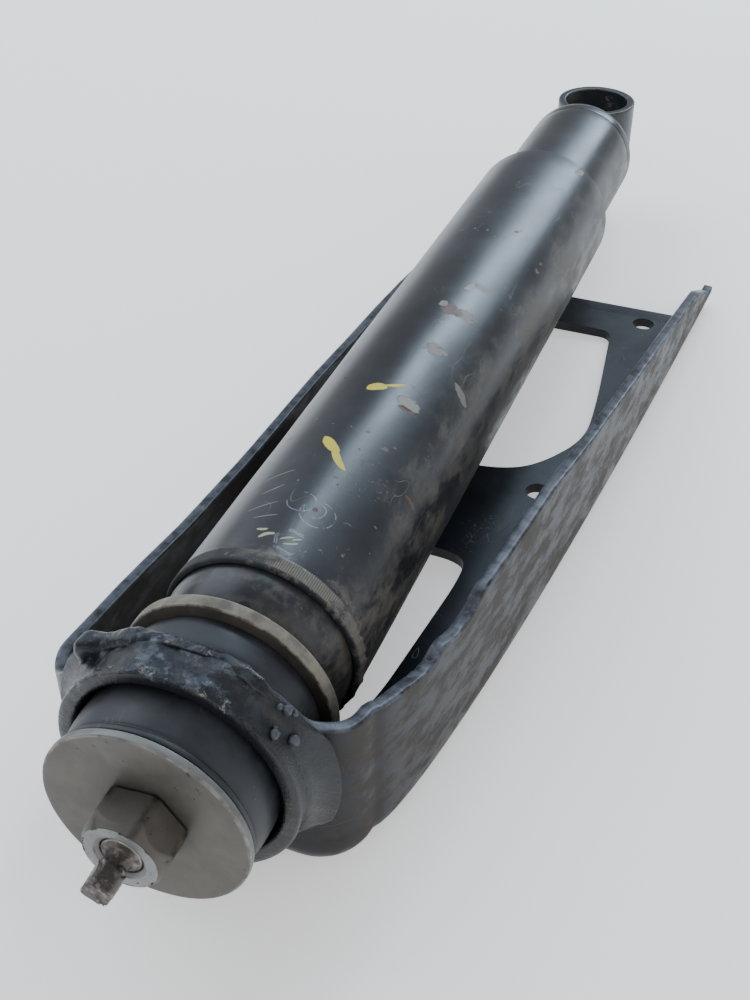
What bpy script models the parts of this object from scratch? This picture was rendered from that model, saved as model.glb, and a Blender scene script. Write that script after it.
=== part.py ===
"""Rear shock absorber with its pressed steel mounting bracket.

A twin-tube telescopic damper.  Its rod carries a threaded stem, which is clamped between two
rubber bushings in the end wall of the bracket, and its reservoir ends in a plain mounting eye.
The damper lies nearly closed along +Y, the bracket's base plate lies on the ground, +Z is up.
The origin is on the underside of the base plate's cross web, straight below the damper's axis.
"""
import math

import bmesh
import bpy
from mathutils import Matrix, Vector

MM = 0.001
GAP = 0.3                      # clearance between pieces that touch, in millimetres

# Driving dimensions, in millimetres.  Places along Y are counted from the dust tube's near rim.
AXIS_HEIGHT = 40.0             # damper axis above the underside of the base plate
ORIGIN_PLACE = 123.0           # place along the damper of the model's origin

DUST_TUBE_R = 30.0
DUST_TUBE_WALL = 1.5
DUST_TUBE_LENGTH = 291.0
RESERVOIR_R = 25.0
RESERVOIR_WALL = 2.0
RESERVOIR_NEAR = 14.0
RESERVOIR_FAR = 356.0
BASE_CUP_FAR = 384.0
PRESSURE_R = 16.5
PRESSURE_WALL = 1.5
PRESSURE_NEAR = 27.3
PRESSURE_FAR = 349.0

EYE_PLACE = 390.0
EYE_R = 18.0
EYE_BORE_R = 14.5
EYE_LENGTH = 34.0

ROD_R = 7.0
STEM_R = 5.7
STEM_HOLE_R = 6.0
STEM_TIP = -88.7
STEM_NECK_NEAR = -82.0
STEM_THREAD_NEAR = -77.5
STEM_SHOULDER = -16.9
STEM_SQUARE = 7.2
STEM_NECK_R = 3.2
NUT_NEAR = -77.8
NUT_FLATS = 22.0
FRONT_WASHER_NEAR = -66.0
FRONT_WASHER_THICK = 2.5
FRONT_WASHER_R = 28.8
REAR_WASHER_NEAR = -21.4
REAR_WASHER_THICK = 4.4
REAR_WASHER_R = 31.7
SLEEVE_R = 8.0
FRONT_BUSHING_R = 27.6
REAR_BUSHING_R = 28.5

WALL_NEAR = -38.0              # outer face of the bracket's end wall
PLATE_THICK = 4.0
WALL_HOLE_R = 10.0
WALL_TOP = 29.0                # highest part of the end wall, above the damper's axis
# Top edge of the end wall from left to right, as (sideways, above the axis).
WALL_TOP_LINE = [(-46, 3.5), (-38.5, 10.5), (-36, 17), (-31.5, 23), (-27, 25), (-17, 26), (-4, 27.6),
                 (13, 27.2), (22, 23), (31, 15.5), (38, 14), (43, 12.5)]
COLLAR_NEAR = -50.0
COLLAR_R = 34.5
COLLAR_BORE_R = 29.3
COLLAR_WELD_R = 37.5

BRACKET_LEFT = -50.0
BRACKET_FAR = 288.0
RIGHT_FLANGE_FAR = 311.0
CORNER_R = 16.0                # plan radius where the end wall turns into the flanges
BEND_R = 8.0                   # outer radius of the bend round the base plate

PISTON_NEAR = 308.0
PISTON_THICK = 14.0
ROD_FAR = 332.0
REBOUND_STOP_NEAR = 292.0
VALVE_LIFT_ROOM = 1.2

OUTER_STEPS = 40
INNER_STEPS = 28

BODIES = {
    "bracket": WALL_NEAR,
    "bushings": WALL_NEAR,
    "rod_side": WALL_NEAR,
    "piston_valve": PISTON_NEAR,
    "seal": RESERVOIR_NEAR,
    "reservoir": RESERVOIR_NEAR,
    "foot_valve": PRESSURE_FAR,
}

STEEL_BLACK = ((0.035, 0.037, 0.042), 0.45, 0.3)
STEEL_BARE = ((0.35, 0.34, 0.32), 0.5, 0.9)
STEEL_ZINC = ((0.40, 0.39, 0.35), 0.55, 0.7)
STEEL_TAN = ((0.33, 0.29, 0.23), 0.6, 0.6)
STEEL_CHROME = ((0.65, 0.65, 0.66), 0.12, 1.0)
RUBBER = ((0.05, 0.055, 0.065), 0.6, 0.0)
SINTERED = ((0.22, 0.21, 0.20), 0.55, 0.8)
BRONZE = ((0.45, 0.30, 0.14), 0.4, 0.9)
POLYMER = ((0.10, 0.09, 0.08), 0.4, 0.0)


def clear_scene():
    """Start from an empty file."""
    for obj in list(bpy.data.objects):
        bpy.data.objects.remove(obj, do_unlink=True)
    for mesh in list(bpy.data.meshes):
        bpy.data.meshes.remove(mesh)


def new_collection(name):
    collection = bpy.data.collections.new(name)
    bpy.context.scene.collection.children.link(collection)
    return collection


clear_scene()
PARTS = new_collection("rear_shock_absorber")
CUTTERS = new_collection("cutters")


def along(place):
    """World Y, in metres, of a place along the damper given in millimetres."""
    return (place - ORIGIN_PLACE) * MM


def world(x, place, above_axis):
    """World point of a sideways offset, a place along the damper and a height above its axis."""
    return Vector((x * MM, along(place), (AXIS_HEIGHT + above_axis) * MM))


def make_material(name, finish):
    """Principled material from a finish: its colour, roughness and metallic value."""
    color, roughness, metallic = finish
    material = bpy.data.materials.new(name)
    material.use_nodes = True
    shader = material.node_tree.nodes["Principled BSDF"]
    shader.inputs["Base Color"].default_value = (*color, 1.0)
    shader.inputs["Roughness"].default_value = roughness
    shader.inputs["Metallic"].default_value = metallic
    return material


def make_pivots():
    """One empty for each moving body, on the damper's axis at the body's joint."""
    pivots = {}
    for name, place in BODIES.items():
        empty = bpy.data.objects.new(name + "_pivot", None)
        empty.location = world(0, place, 0)
        PARTS.objects.link(empty)
        pivots[name] = empty
    return pivots


PIVOTS = make_pivots()


def mesh_object(name, mesh, collection=PARTS):
    obj = bpy.data.objects.new(name, mesh)
    collection.objects.link(obj)
    return obj


def turned_mesh_object(name, profile, steps, collection=PARTS):
    """Turn a profile of (radius, place) points round the damper's axis.

    The outer side of a profile runs from its far end to its near end.  A profile whose first and
    last radius is zero closes on the axis, and any other profile is closed into a ring.
    """
    mesh = bpy.data.meshes.new(name)
    points = [(radius * MM, 0.0, place * MM) for radius, place in profile]
    edges = [(i, i + 1) for i in range(len(points) - 1)]
    if profile[0][0] > 0:
        edges.append((len(points) - 1, 0))
    mesh.from_pydata(points, edges, [])
    obj = mesh_object(name, mesh, collection)
    screw = obj.modifiers.new("turn", "SCREW")
    screw.axis = "Z"
    screw.steps = steps
    screw.render_steps = steps
    screw.use_merge_vertices = True
    screw.merge_threshold = 0.00001
    obj.rotation_euler = (-math.pi / 2, 0, 0)
    obj.location = world(0, 0, 0)
    return obj


def outline_object(name, outline, low, high, axis, collection=CUTTERS):
    """Prism of a closed 2D outline.

    axis "Z": the outline is (x, place) and runs from height low to high above the axis.
    axis "Y": the outline is (x, above axis) and runs from place low to high.
    axis "X": the outline is (place, above axis) and runs from x low to high.
    """
    mesh = bpy.data.meshes.new(name)
    bm = bmesh.new()
    if axis == "Z":
        corners = [world(a, b, low) for a, b in outline]
        sweep = Vector((0, 0, (high - low) * MM))
    elif axis == "Y":
        corners = [world(a, low, b) for a, b in outline]
        sweep = Vector((0, (high - low) * MM, 0))
    else:
        corners = [world(low, a, b) for a, b in outline]
        sweep = Vector(((high - low) * MM, 0, 0))
    face = bm.faces.new([bm.verts.new(corner) for corner in corners])
    swept = bmesh.ops.extrude_face_region(bm, geom=[face])
    tops = [item for item in swept["geom"] if isinstance(item, bmesh.types.BMVert)]
    bmesh.ops.translate(bm, verts=tops, vec=sweep)
    bmesh.ops.recalc_face_normals(bm, faces=bm.faces)
    bm.to_mesh(mesh)
    bm.free()
    return mesh_object(name, mesh, collection)


def cylinder_object(name, radius, centre, length, axis, steps=INNER_STEPS, collection=CUTTERS):
    """Closed cylinder with its centre at a world point and its length along X, Y or Z."""
    turns = {"X": Matrix.Rotation(math.pi / 2, 4, "Y"),
             "Y": Matrix.Rotation(math.pi / 2, 4, "X"),
             "Z": Matrix.Identity(4)}
    mesh = bpy.data.meshes.new(name)
    bm = bmesh.new()
    bmesh.ops.create_cone(bm, cap_ends=True, segments=steps, radius1=radius * MM,
                          radius2=radius * MM, depth=length * MM,
                          matrix=Matrix.Translation(centre) @ turns[axis])
    bm.to_mesh(mesh)
    bm.free()
    return mesh_object(name, mesh, collection)


def boolean(obj, tool, operation="DIFFERENCE"):
    """Cut obj with a tool, or join the tool to it, with the exact solver."""
    tool.hide_render = True
    tool.display_type = "WIRE"
    modifier = obj.modifiers.new(operation.lower(), "BOOLEAN")
    modifier.operation = operation
    modifier.solver = "EXACT"
    modifier.object = tool


def finish(obj, body, look, smooth=True):
    """Give a sub-part its own material, smooth shading and its body's pivot as parent."""
    obj.data.materials.append(make_material(obj.name, look))
    if smooth and obj.data.polygons:
        obj.data.shade_smooth()
        obj.data.set_sharp_from_angle(angle=math.radians(35))
    pivot = PIVOTS[body]
    obj.location = obj.location - pivot.location
    obj.parent = pivot
    return obj


def arc(centre, radius, start, end, steps):
    """Points of an arc; the angles are in degrees and counted from the first axis."""
    points = []
    for i in range(steps + 1):
        angle = math.radians(start + (end - start) * i / steps)
        points.append((centre[0] + radius * math.cos(angle), centre[1] + radius * math.sin(angle)))
    return points


# --- mounting bracket ------------------------------------------------------------------------
def right_edge(place, inset=0.0):
    """Sideways place of the right flange, which spreads away from the damper along a slow curve."""
    run = max(0.0, place + 22.0) / 332.0
    return 43.5 + 36.5 * run ** 0.62 - 2.0 * run - inset


def pan_outline(inset, far):
    """Plan outline of the pressing, moved inwards by inset; it is open-ended at the far side."""
    left = BRACKET_LEFT + inset
    near = WALL_NEAR + inset
    corner = CORNER_R - inset
    right_start = WALL_NEAR + CORNER_R
    corner_x = right_edge(right_start, inset) - corner
    right = []
    for i in range(13):
        place = right_start + (far - right_start) * i / 12
        right.append((right_edge(place, inset), place))
    outline = arc((left + corner, near + corner), corner, 180, 270, 5)
    outline += arc((corner_x, near + corner), corner, 270, 350, 5)
    outline += right
    outline.append((left, far))
    return outline


def pan_block(name, inset, low, high, bend, far):
    """Block of the pan's outline with the edge round its floor rolled to a bend radius."""
    obj = outline_object(name, pan_outline(inset, far), low, high, "Z")
    bm = bmesh.new()
    bm.from_mesh(obj.data)
    floor = (AXIS_HEIGHT + low) * MM
    end = along(far) - 0.0001
    rim = []
    for edge in bm.edges:
        on_floor = all(abs(vert.co.z - floor) < 1e-6 for vert in edge.verts)
        at_end = all(vert.co.y > end for vert in edge.verts)
        if on_floor and not at_end:
            rim.append(edge)
    bmesh.ops.bevel(bm, geom=rim, offset=bend * MM, offset_type="OFFSET", segments=3,
                    profile=0.5, affect="EDGES")
    bm.to_mesh(obj.data)
    bm.free()
    return obj


def rounded_rectangle(x_low, x_high, near, far, radius):
    outline = arc((x_low + radius, near + radius), radius, 180, 270, 4)
    outline += arc((x_high - radius, near + radius), radius, 270, 360, 4)
    outline += arc((x_high - radius, far - radius), radius, 0, 90, 4)
    outline += arc((x_low + radius, far - radius), radius, 90, 180, 4)
    return outline


def make_bracket():
    """Pressed pan with a base plate, two side flanges and an arched end wall."""
    floor = -AXIS_HEIGHT
    reach = 60.0
    bracket = pan_block("mounting_bracket", 0.0, floor, WALL_TOP, BEND_R, RIGHT_FLANGE_FAR)
    CUTTERS.objects.unlink(bracket)
    PARTS.objects.link(bracket)

    hollow = pan_block("pan_hollow", PLATE_THICK, floor + PLATE_THICK, WALL_TOP + 10,
                       BEND_R - PLATE_THICK, RIGHT_FLANGE_FAR + 20)
    boolean(bracket, hollow)

    high = WALL_TOP + 10
    above_wall = [(90, high), (90, WALL_TOP_LINE[-1][1])] + WALL_TOP_LINE[::-1]
    above_wall += [(-90, WALL_TOP_LINE[0][1]), (-90, high)]
    boolean(bracket, outline_object("above_wall", above_wall, -60, 340, "Y"))

    right_top = [(-26, 13.5), (-10, 9.5), (0, 6.0), (10, 7.0), (20, 5.5), (34, 9.0), (90, 9.0),
                 (125, 4.0), (220, -8.0), (280, -18.0), (303, -31.0), (RIGHT_FLANGE_FAR + 1, -37.0)]
    above_right = [(-26, high)] + right_top + [(RIGHT_FLANGE_FAR + 1, high)]
    boolean(bracket, outline_object("above_right_flange", above_right, 38, 90, "X"))

    left_top = [(-26, 3.3), (10, 0.0), (46, -5.2), (86, -8.5), (150, -11.8), (212, -17.0),
                (248, -20.5), (280, -25.0), (RIGHT_FLANGE_FAR + 1, -34.0)]
    above_left = [(-26, high)] + left_top + [(RIGHT_FLANGE_FAR + 1, high)]
    boolean(bracket, outline_object("above_left_flange", above_left, -90, -38, "X"))

    far_x = right_edge(BRACKET_FAR) - PLATE_THICK - 1.5
    beyond = [(-reach, BRACKET_FAR), (far_x, BRACKET_FAR), (far_x + 3, RIGHT_FLANGE_FAR + 2),
              (-reach, RIGHT_FLANGE_FAR + 2)]
    boolean(bracket, outline_object("beyond_plate", beyond, -60, 60, "Z"))

    large = [(-34, 160), (-26, 152), (30, 152), (41, 161), (49.5, 178), (50, 200), (46.5, 222),
             (44.5, 246), (38, 258), (24, 265), (-24, 265), (-34, 255)]
    boolean(bracket, outline_object("large_window", large, -50, -25, "Z"))
    small = rounded_rectangle(-30, 29, 2, 95, 14)
    boolean(bracket, outline_object("small_window", small, -50, -25, "Z"))
    for index, (x, place) in enumerate(((54.5, 276), (44, 142), (-40, 276), (-40, 128))):
        hole = cylinder_object(f"bolt_hole_{index}", 4.6, world(x, place, floor + 2), 12, "Z", 20)
        boolean(bracket, hole)
    boolean(bracket, cylinder_object("stem_hole", WALL_HOLE_R, world(0, WALL_NEAR + 2, 0), 14, "Y"))
    finish(bracket, "bracket", STEEL_BLACK)


def make_collar():
    """Short drawn collar that holds the front bushing, and the weld that joins it to the wall."""
    far = WALL_NEAR - GAP
    collar = turned_mesh_object("bushing_collar", [
        (COLLAR_R, far), (COLLAR_R, COLLAR_NEAR + 1.5), (COLLAR_R - 1.5, COLLAR_NEAR),
        (COLLAR_BORE_R + 1, COLLAR_NEAR), (COLLAR_BORE_R, COLLAR_NEAR + 1), (COLLAR_BORE_R, far),
    ], OUTER_STEPS)
    finish(collar, "bracket", STEEL_BLACK)
    weld = turned_mesh_object("collar_weld", [
        (COLLAR_WELD_R, far), (COLLAR_R + 1.9, far - 1.9), (COLLAR_R + GAP, far - 3.0),
        (COLLAR_R + GAP, far),
    ], OUTER_STEPS)
    above_weld = [(-60, WALL_TOP + 1), (60, WALL_TOP + 1), (60, 60), (-60, 60)]
    boolean(weld, outline_object("above_weld", above_weld, -60, 0, "Y"))
    finish(weld, "bracket", STEEL_BARE)


# --- stem mount ------------------------------------------------------------------------------
def make_stem_mount():
    """Rubber bushings, spacer sleeve, washers and nut that clamp the stem in the end wall."""
    bore = SLEEVE_R + GAP
    spigot = WALL_HOLE_R - GAP
    front_near = FRONT_WASHER_NEAR + FRONT_WASHER_THICK + GAP
    rear_far = REAR_WASHER_NEAR - GAP
    wall_far = WALL_NEAR + PLATE_THICK
    wall_mid = WALL_NEAR + PLATE_THICK / 2

    front = turned_mesh_object("front_bushing", [
        (spigot, wall_mid - GAP), (spigot, WALL_NEAR - GAP), (FRONT_BUSHING_R, WALL_NEAR - GAP),
        (FRONT_BUSHING_R + 0.6, front_near + 8), (FRONT_BUSHING_R, front_near + 3),
        (FRONT_BUSHING_R + 0.5, front_near + 1.5), (FRONT_BUSHING_R, front_near),
        (bore, front_near), (bore, wall_mid - GAP),
    ], OUTER_STEPS)
    finish(front, "bushings", RUBBER)
    rear = turned_mesh_object("rear_bushing", [
        (REAR_BUSHING_R, rear_far), (REAR_BUSHING_R + 0.6, (rear_far + wall_far) / 2),
        (REAR_BUSHING_R, wall_far + GAP), (spigot, wall_far + GAP), (spigot, wall_mid + GAP),
        (bore, wall_mid + GAP), (bore, rear_far),
    ], OUTER_STEPS)
    finish(rear, "bushings", RUBBER)
    sleeve = turned_mesh_object("spacer_sleeve", [
        (SLEEVE_R, rear_far), (SLEEVE_R, front_near), (STEM_HOLE_R, front_near),
        (STEM_HOLE_R, rear_far),
    ], INNER_STEPS)
    finish(sleeve, "rod_side", STEEL_BARE)

    for name, near, thick, radius, look in (
            ("front_washer", FRONT_WASHER_NEAR, FRONT_WASHER_THICK, FRONT_WASHER_R, STEEL_ZINC),
            ("rear_washer", REAR_WASHER_NEAR, REAR_WASHER_THICK, REAR_WASHER_R, STEEL_TAN)):
        edge = thick * 0.3
        washer = turned_mesh_object(name, [
            (radius - edge, near + thick), (radius, near + thick - edge), (radius, near + edge),
            (radius - edge, near), (STEM_HOLE_R, near), (STEM_HOLE_R, near + thick),
        ], OUTER_STEPS)
        finish(washer, "rod_side", look)

    nut_far = FRONT_WASHER_NEAR - GAP
    half = NUT_FLATS / 2 / math.cos(math.pi / 6)
    chamfer = turned_mesh_object("nut_chamfer", [
        (half + 3, nut_far + 1), (half + 3, NUT_NEAR + 4), (half - 1.5, NUT_NEAR),
        (STEM_HOLE_R, NUT_NEAR), (STEM_HOLE_R, nut_far + 1),
    ], INNER_STEPS, CUTTERS)
    hexagon = arc((0, 0), half, 10, 310, 5)
    nut = outline_object("stem_nut", hexagon, NUT_NEAR, nut_far, "Y", PARTS)
    boolean(nut, chamfer, "INTERSECT")
    finish(nut, "rod_side", STEEL_ZINC, smooth=False)


# --- rod side --------------------------------------------------------------------------------
def make_rod():
    """Piston rod with its threaded stem, necked tip and square end, in one piece."""
    tip = STEM_SQUARE / 2
    rod = turned_mesh_object("piston_rod", [
        (0, ROD_FAR), (4.4, ROD_FAR), (5.0, ROD_FAR - 0.6), (5.0, PISTON_NEAR - GAP),
        (ROD_R, PISTON_NEAR - GAP), (ROD_R, STEM_SHOULDER), (STEM_R, STEM_SHOULDER),
        (STEM_R, STEM_THREAD_NEAR + 1.2), (STEM_R - 1.2, STEM_THREAD_NEAR),
        (STEM_NECK_R, STEM_THREAD_NEAR), (STEM_NECK_R, STEM_NECK_NEAR - 2), (0, STEM_NECK_NEAR - 2),
    ], INNER_STEPS)
    square = [(-tip, -tip), (tip, -tip), (tip, tip), (-tip, tip)]
    turn = math.radians(-27)
    turned = [(x * math.cos(turn) - z * math.sin(turn), x * math.sin(turn) + z * math.cos(turn))
              for x, z in square]
    end = outline_object("stem_square", turned, STEM_TIP, STEM_NECK_NEAR, "Y")
    boolean(rod, end, "UNION")
    finish(rod, "rod_side", STEEL_CHROME)


def make_dust_cover():
    """Domed cap on the rod's shoulder and the dust tube pressed over its skirt."""
    inner = DUST_TUBE_R - DUST_TUBE_WALL - GAP
    near = REAR_WASHER_NEAR + REAR_WASHER_THICK + GAP
    wall = 2.0
    hole = ROD_R + GAP
    cap = turned_mesh_object("dust_cap", [
        (inner, 10), (inner, -4), (inner - 1.6, -9), (inner - 5, near + 2.2), (inner - 9, near),
        (hole, near), (hole, near + wall), (inner - 9.6, near + wall),
        (inner - 6, near + wall + 2), (inner - 3.4, -8), (inner - wall, -3.4), (inner - wall, 10),
    ], OUTER_STEPS)
    finish(cap, "rod_side", STEEL_BLACK)
    bore = DUST_TUBE_R - DUST_TUBE_WALL
    tube = turned_mesh_object("dust_tube", [
        (DUST_TUBE_R, DUST_TUBE_LENGTH), (DUST_TUBE_R, 5.4), (DUST_TUBE_R + 0.5, 5.0),
        (DUST_TUBE_R + 0.5, 0.4), (DUST_TUBE_R, 0), (bore, 0), (bore, DUST_TUBE_LENGTH),
    ], OUTER_STEPS)
    finish(tube, "rod_side", STEEL_BLACK)
    stop_near = near + wall + GAP
    bump = turned_mesh_object("bump_stop", [
        (13, 8), (15.5, 5), (13.5, -1), (16, -7), (15, stop_near), (hole, stop_near), (hole, 8),
    ], INNER_STEPS)
    finish(bump, "rod_side", RUBBER)


def make_piston():
    """Piston with its band, nut, valve plate and the rebound stop on the rod."""
    far = PISTON_NEAR + PISTON_THICK
    land = PRESSURE_R - 0.5
    groove = PRESSURE_R - 1.6
    piston = turned_mesh_object("piston", [
        (land, far), (land, far - 3), (groove, far - 3), (groove, PISTON_NEAR + 3),
        (land, PISTON_NEAR + 3), (land, PISTON_NEAR), (5.3, PISTON_NEAR), (5.3, far),
    ], INNER_STEPS)
    finish(piston, "rod_side", SINTERED)
    band = turned_mesh_object("piston_band", [
        (PRESSURE_R - 0.2, far - 3 - GAP), (PRESSURE_R - 0.2, PISTON_NEAR + 3 + GAP),
        (groove + GAP, PISTON_NEAR + 3 + GAP), (groove + GAP, far - 3 - GAP),
    ], INNER_STEPS)
    finish(band, "rod_side", POLYMER)
    nut_near = far + GAP
    nut = outline_object("piston_nut", arc((0, 0), 9.2, 0, 300, 5), nut_near, nut_near + 7, "Y",
                         PARTS)
    boolean(nut, cylinder_object("piston_nut_bore", 5.3, world(0, nut_near + 3.5, 0), 20, "Y"))
    finish(nut, "rod_side", STEEL_BARE, smooth=False)
    stop = turned_mesh_object("rebound_stop", [
        (12, REBOUND_STOP_NEAR + 8), (12, REBOUND_STOP_NEAR), (ROD_R + GAP, REBOUND_STOP_NEAR),
        (ROD_R + GAP, REBOUND_STOP_NEAR + 8),
    ], INNER_STEPS)
    finish(stop, "rod_side", STEEL_BARE)
    plate_far = PISTON_NEAR - GAP
    plate = turned_mesh_object("piston_valve_plate", [
        (14, plate_far), (14, plate_far - 1), (ROD_R + GAP, plate_far - 1),
        (ROD_R + GAP, plate_far),
    ], INNER_STEPS)
    finish(plate, "piston_valve", STEEL_BARE)


# --- reservoir side --------------------------------------------------------------------------
def make_reservoir():
    """Outer tube with its rolled-in lip, and the base cup saddled onto the eye."""
    bore = RESERVOIR_R - RESERVOIR_WALL
    tube = turned_mesh_object("reservoir_tube", [
        (RESERVOIR_R, RESERVOIR_FAR), (RESERVOIR_R, RESERVOIR_NEAR + 2),
        (RESERVOIR_R - 2, RESERVOIR_NEAR), (19, RESERVOIR_NEAR), (19, RESERVOIR_NEAR + 2),
        (bore, RESERVOIR_NEAR + 2), (bore, RESERVOIR_FAR),
    ], OUTER_STEPS)
    finish(tube, "reservoir", STEEL_BLACK)
    near = RESERVOIR_FAR + GAP
    corner = 9.0
    shoulder = arc((BASE_CUP_FAR - corner, RESERVOIR_R - 1 - corner), corner, 0, 80, 4)
    cup = turned_mesh_object("base_cup", [(0, BASE_CUP_FAR)]
                             + [(radius, place) for place, radius in shoulder]
                             + [(RESERVOIR_R, RESERVOIR_FAR + 6), (RESERVOIR_R, near),
                                (bore, near), (bore, RESERVOIR_FAR + 10),
                                (0, RESERVOIR_FAR + 10)], OUTER_STEPS)
    saddle = cylinder_object("eye_saddle", EYE_R + GAP, world(0, EYE_PLACE, 0), 80, "Z",
                             OUTER_STEPS)
    boolean(cup, saddle)
    finish(cup, "reservoir", STEEL_BLACK)
    eye = cylinder_object("eye_ring", EYE_R, world(0, EYE_PLACE, 0), EYE_LENGTH, "Z",
                          OUTER_STEPS, PARTS)
    boolean(eye, cylinder_object("eye_bore", EYE_BORE_R, world(0, EYE_PLACE, 0),
                                 EYE_LENGTH + 10, "Z", OUTER_STEPS))
    finish(eye, "reservoir", STEEL_BLACK)


def make_guide():
    """Rod seal, rod guide and its bronze bush in the near end of the reservoir."""
    bore = RESERVOIR_R - RESERVOIR_WALL - GAP
    seal_near = RESERVOIR_NEAR + 2 + GAP
    seal_far = seal_near + 4
    guide_near = seal_far + GAP
    bush_r = ROD_R + 1.9
    seal = turned_mesh_object("rod_seal", [
        (bore, seal_far), (bore, seal_near), (14, seal_near), (12, seal_near + 1),
        (ROD_R + GAP, seal_near), (ROD_R + GAP, seal_far),
    ], INNER_STEPS)
    finish(seal, "seal", RUBBER)
    guide = turned_mesh_object("rod_guide", [
        (PRESSURE_R - GAP, 34), (PRESSURE_R - GAP, PRESSURE_NEAR - GAP),
        (bore, PRESSURE_NEAR - GAP), (bore, guide_near), (bush_r + GAP, guide_near),
        (bush_r + GAP, 34),
    ], INNER_STEPS)
    finish(guide, "reservoir", SINTERED)
    bush = turned_mesh_object("guide_bush", [
        (bush_r, 33), (bush_r, guide_near + 1), (ROD_R + GAP, guide_near + 1), (ROD_R + GAP, 33),
    ], INNER_STEPS)
    finish(bush, "reservoir", BRONZE)


def make_pressure_tube():
    """Inner working tube and the foot valve that closes its far end."""
    outer = PRESSURE_R + PRESSURE_WALL
    tube = turned_mesh_object("pressure_tube", [
        (outer, PRESSURE_FAR), (outer, PRESSURE_NEAR), (PRESSURE_R, PRESSURE_NEAR),
        (PRESSURE_R, PRESSURE_FAR),
    ], INNER_STEPS)
    finish(tube, "reservoir", STEEL_BARE)
    spigot = PRESSURE_R - GAP
    cup_floor = RESERVOIR_FAR + 10 - GAP
    body = turned_mesh_object("foot_valve_body", [
        (outer, cup_floor), (outer, PRESSURE_FAR + GAP), (spigot, PRESSURE_FAR + GAP),
        (spigot, PRESSURE_FAR - 7), (3, PRESSURE_FAR - 7), (3, PRESSURE_FAR + 5),
        (14, PRESSURE_FAR + 5), (14, cup_floor),
    ], INNER_STEPS)
    boolean(body, cylinder_object("foot_port", 3, world(0, PRESSURE_FAR + 11, 0), 50, "X", 16))
    finish(body, "reservoir", SINTERED)
    disc_far = PRESSURE_FAR - 7 - GAP
    disc = turned_mesh_object("foot_valve_disc", [
        (0, disc_far), (13, disc_far), (13, disc_far - 1), (0, disc_far - 1),
    ], INNER_STEPS)
    finish(disc, "foot_valve", STEEL_BARE)


make_bracket()
make_collar()
make_stem_mount()
make_rod()
make_dust_cover()
make_piston()
make_reservoir()
make_guide()
make_pressure_tube()
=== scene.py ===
"""Rear shock absorber: the fine surfaces and finishes of the damper and its bracket."""

import math

import bmesh
import bpy
import numpy as np
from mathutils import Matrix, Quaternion, Vector


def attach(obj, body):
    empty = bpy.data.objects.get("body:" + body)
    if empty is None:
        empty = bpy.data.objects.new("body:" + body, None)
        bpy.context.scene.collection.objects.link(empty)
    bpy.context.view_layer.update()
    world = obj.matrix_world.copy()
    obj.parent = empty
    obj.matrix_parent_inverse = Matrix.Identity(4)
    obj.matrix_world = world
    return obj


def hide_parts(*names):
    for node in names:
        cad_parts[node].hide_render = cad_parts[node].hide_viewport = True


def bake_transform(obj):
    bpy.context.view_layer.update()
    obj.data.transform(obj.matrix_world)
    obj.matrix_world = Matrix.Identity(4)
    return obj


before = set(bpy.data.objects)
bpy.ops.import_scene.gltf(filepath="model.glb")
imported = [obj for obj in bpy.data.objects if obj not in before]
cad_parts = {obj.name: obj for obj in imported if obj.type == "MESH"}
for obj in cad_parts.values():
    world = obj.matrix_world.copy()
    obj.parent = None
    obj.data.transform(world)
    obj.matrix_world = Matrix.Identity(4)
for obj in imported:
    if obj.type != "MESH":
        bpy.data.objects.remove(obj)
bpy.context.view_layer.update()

# --- viewpoint ---------------------------------------------------------------------------------
# The damper is seen from close by, above and in front of its stem, a little from its right.
viewpoint = bpy.data.objects.new("viewpoint", bpy.data.cameras.new("viewpoint"))
viewpoint.location = (0.1255, -0.3551, 0.2973)
viewpoint.rotation_euler = (math.radians(90 - 38.185), 0, math.radians(21.34))
viewpoint.data.lens = 46.66
viewpoint.data.sensor_width = 36.0
viewpoint.data.clip_start = 0.01
bpy.context.scene.collection.objects.link(viewpoint)
bpy.context.scene.camera = viewpoint

# --- ground and light --------------------------------------------------------------------------
# A plain pale bench under the bracket.  A cool strip behind draws the long highlight, a broad
# light on the left shows the tubes' upper side, and two weak ones fill the right and the front.
bench_mesh = bpy.data.meshes.new("bench")
bench_mesh.from_pydata([(-4, -4, -0.0002), (4, -4, -0.0002), (4, 4, -0.0002), (-4, 4, -0.0002)],
                       [], [(0, 1, 2, 3)])
bench = bpy.data.objects.new("bench", bench_mesh)
bench_material = bpy.data.materials.new("pale_bench")
bench_material.use_nodes = True
bench_shader = bench_material.node_tree.nodes["Principled BSDF"]
bench_shader.inputs["Base Color"].default_value = (0.97, 0.97, 0.97, 1)
bench_shader.inputs["Roughness"].default_value = 0.9
bench_shader.inputs["Specular IOR Level"].default_value = 0.1
bench_shader.inputs["Emission Color"].default_value = (1, 1, 1, 1)
bench_shader.inputs["Emission Strength"].default_value = 0.55
bench_mesh.materials.append(bench_material)
bpy.context.scene.collection.objects.link(bench)


def soft_light(name, place, target, size, power, color, lean=0.0):
    """Area light at a place, facing a target, its height leaning sideways by an angle."""
    lamp = bpy.data.lights.new(name, "AREA")
    lamp.shape = "RECTANGLE"
    lamp.size, lamp.size_y = size
    lamp.energy = power
    lamp.color = color
    holder = bpy.data.objects.new(name, lamp)
    holder.location = place
    aim = Vector(target) - Vector(place)
    facing = aim.to_track_quat("-Z", "Y") @ Quaternion((0, 0, 1), math.radians(lean))
    holder.rotation_euler = facing.to_euler()
    bpy.context.scene.collection.objects.link(holder)


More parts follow.
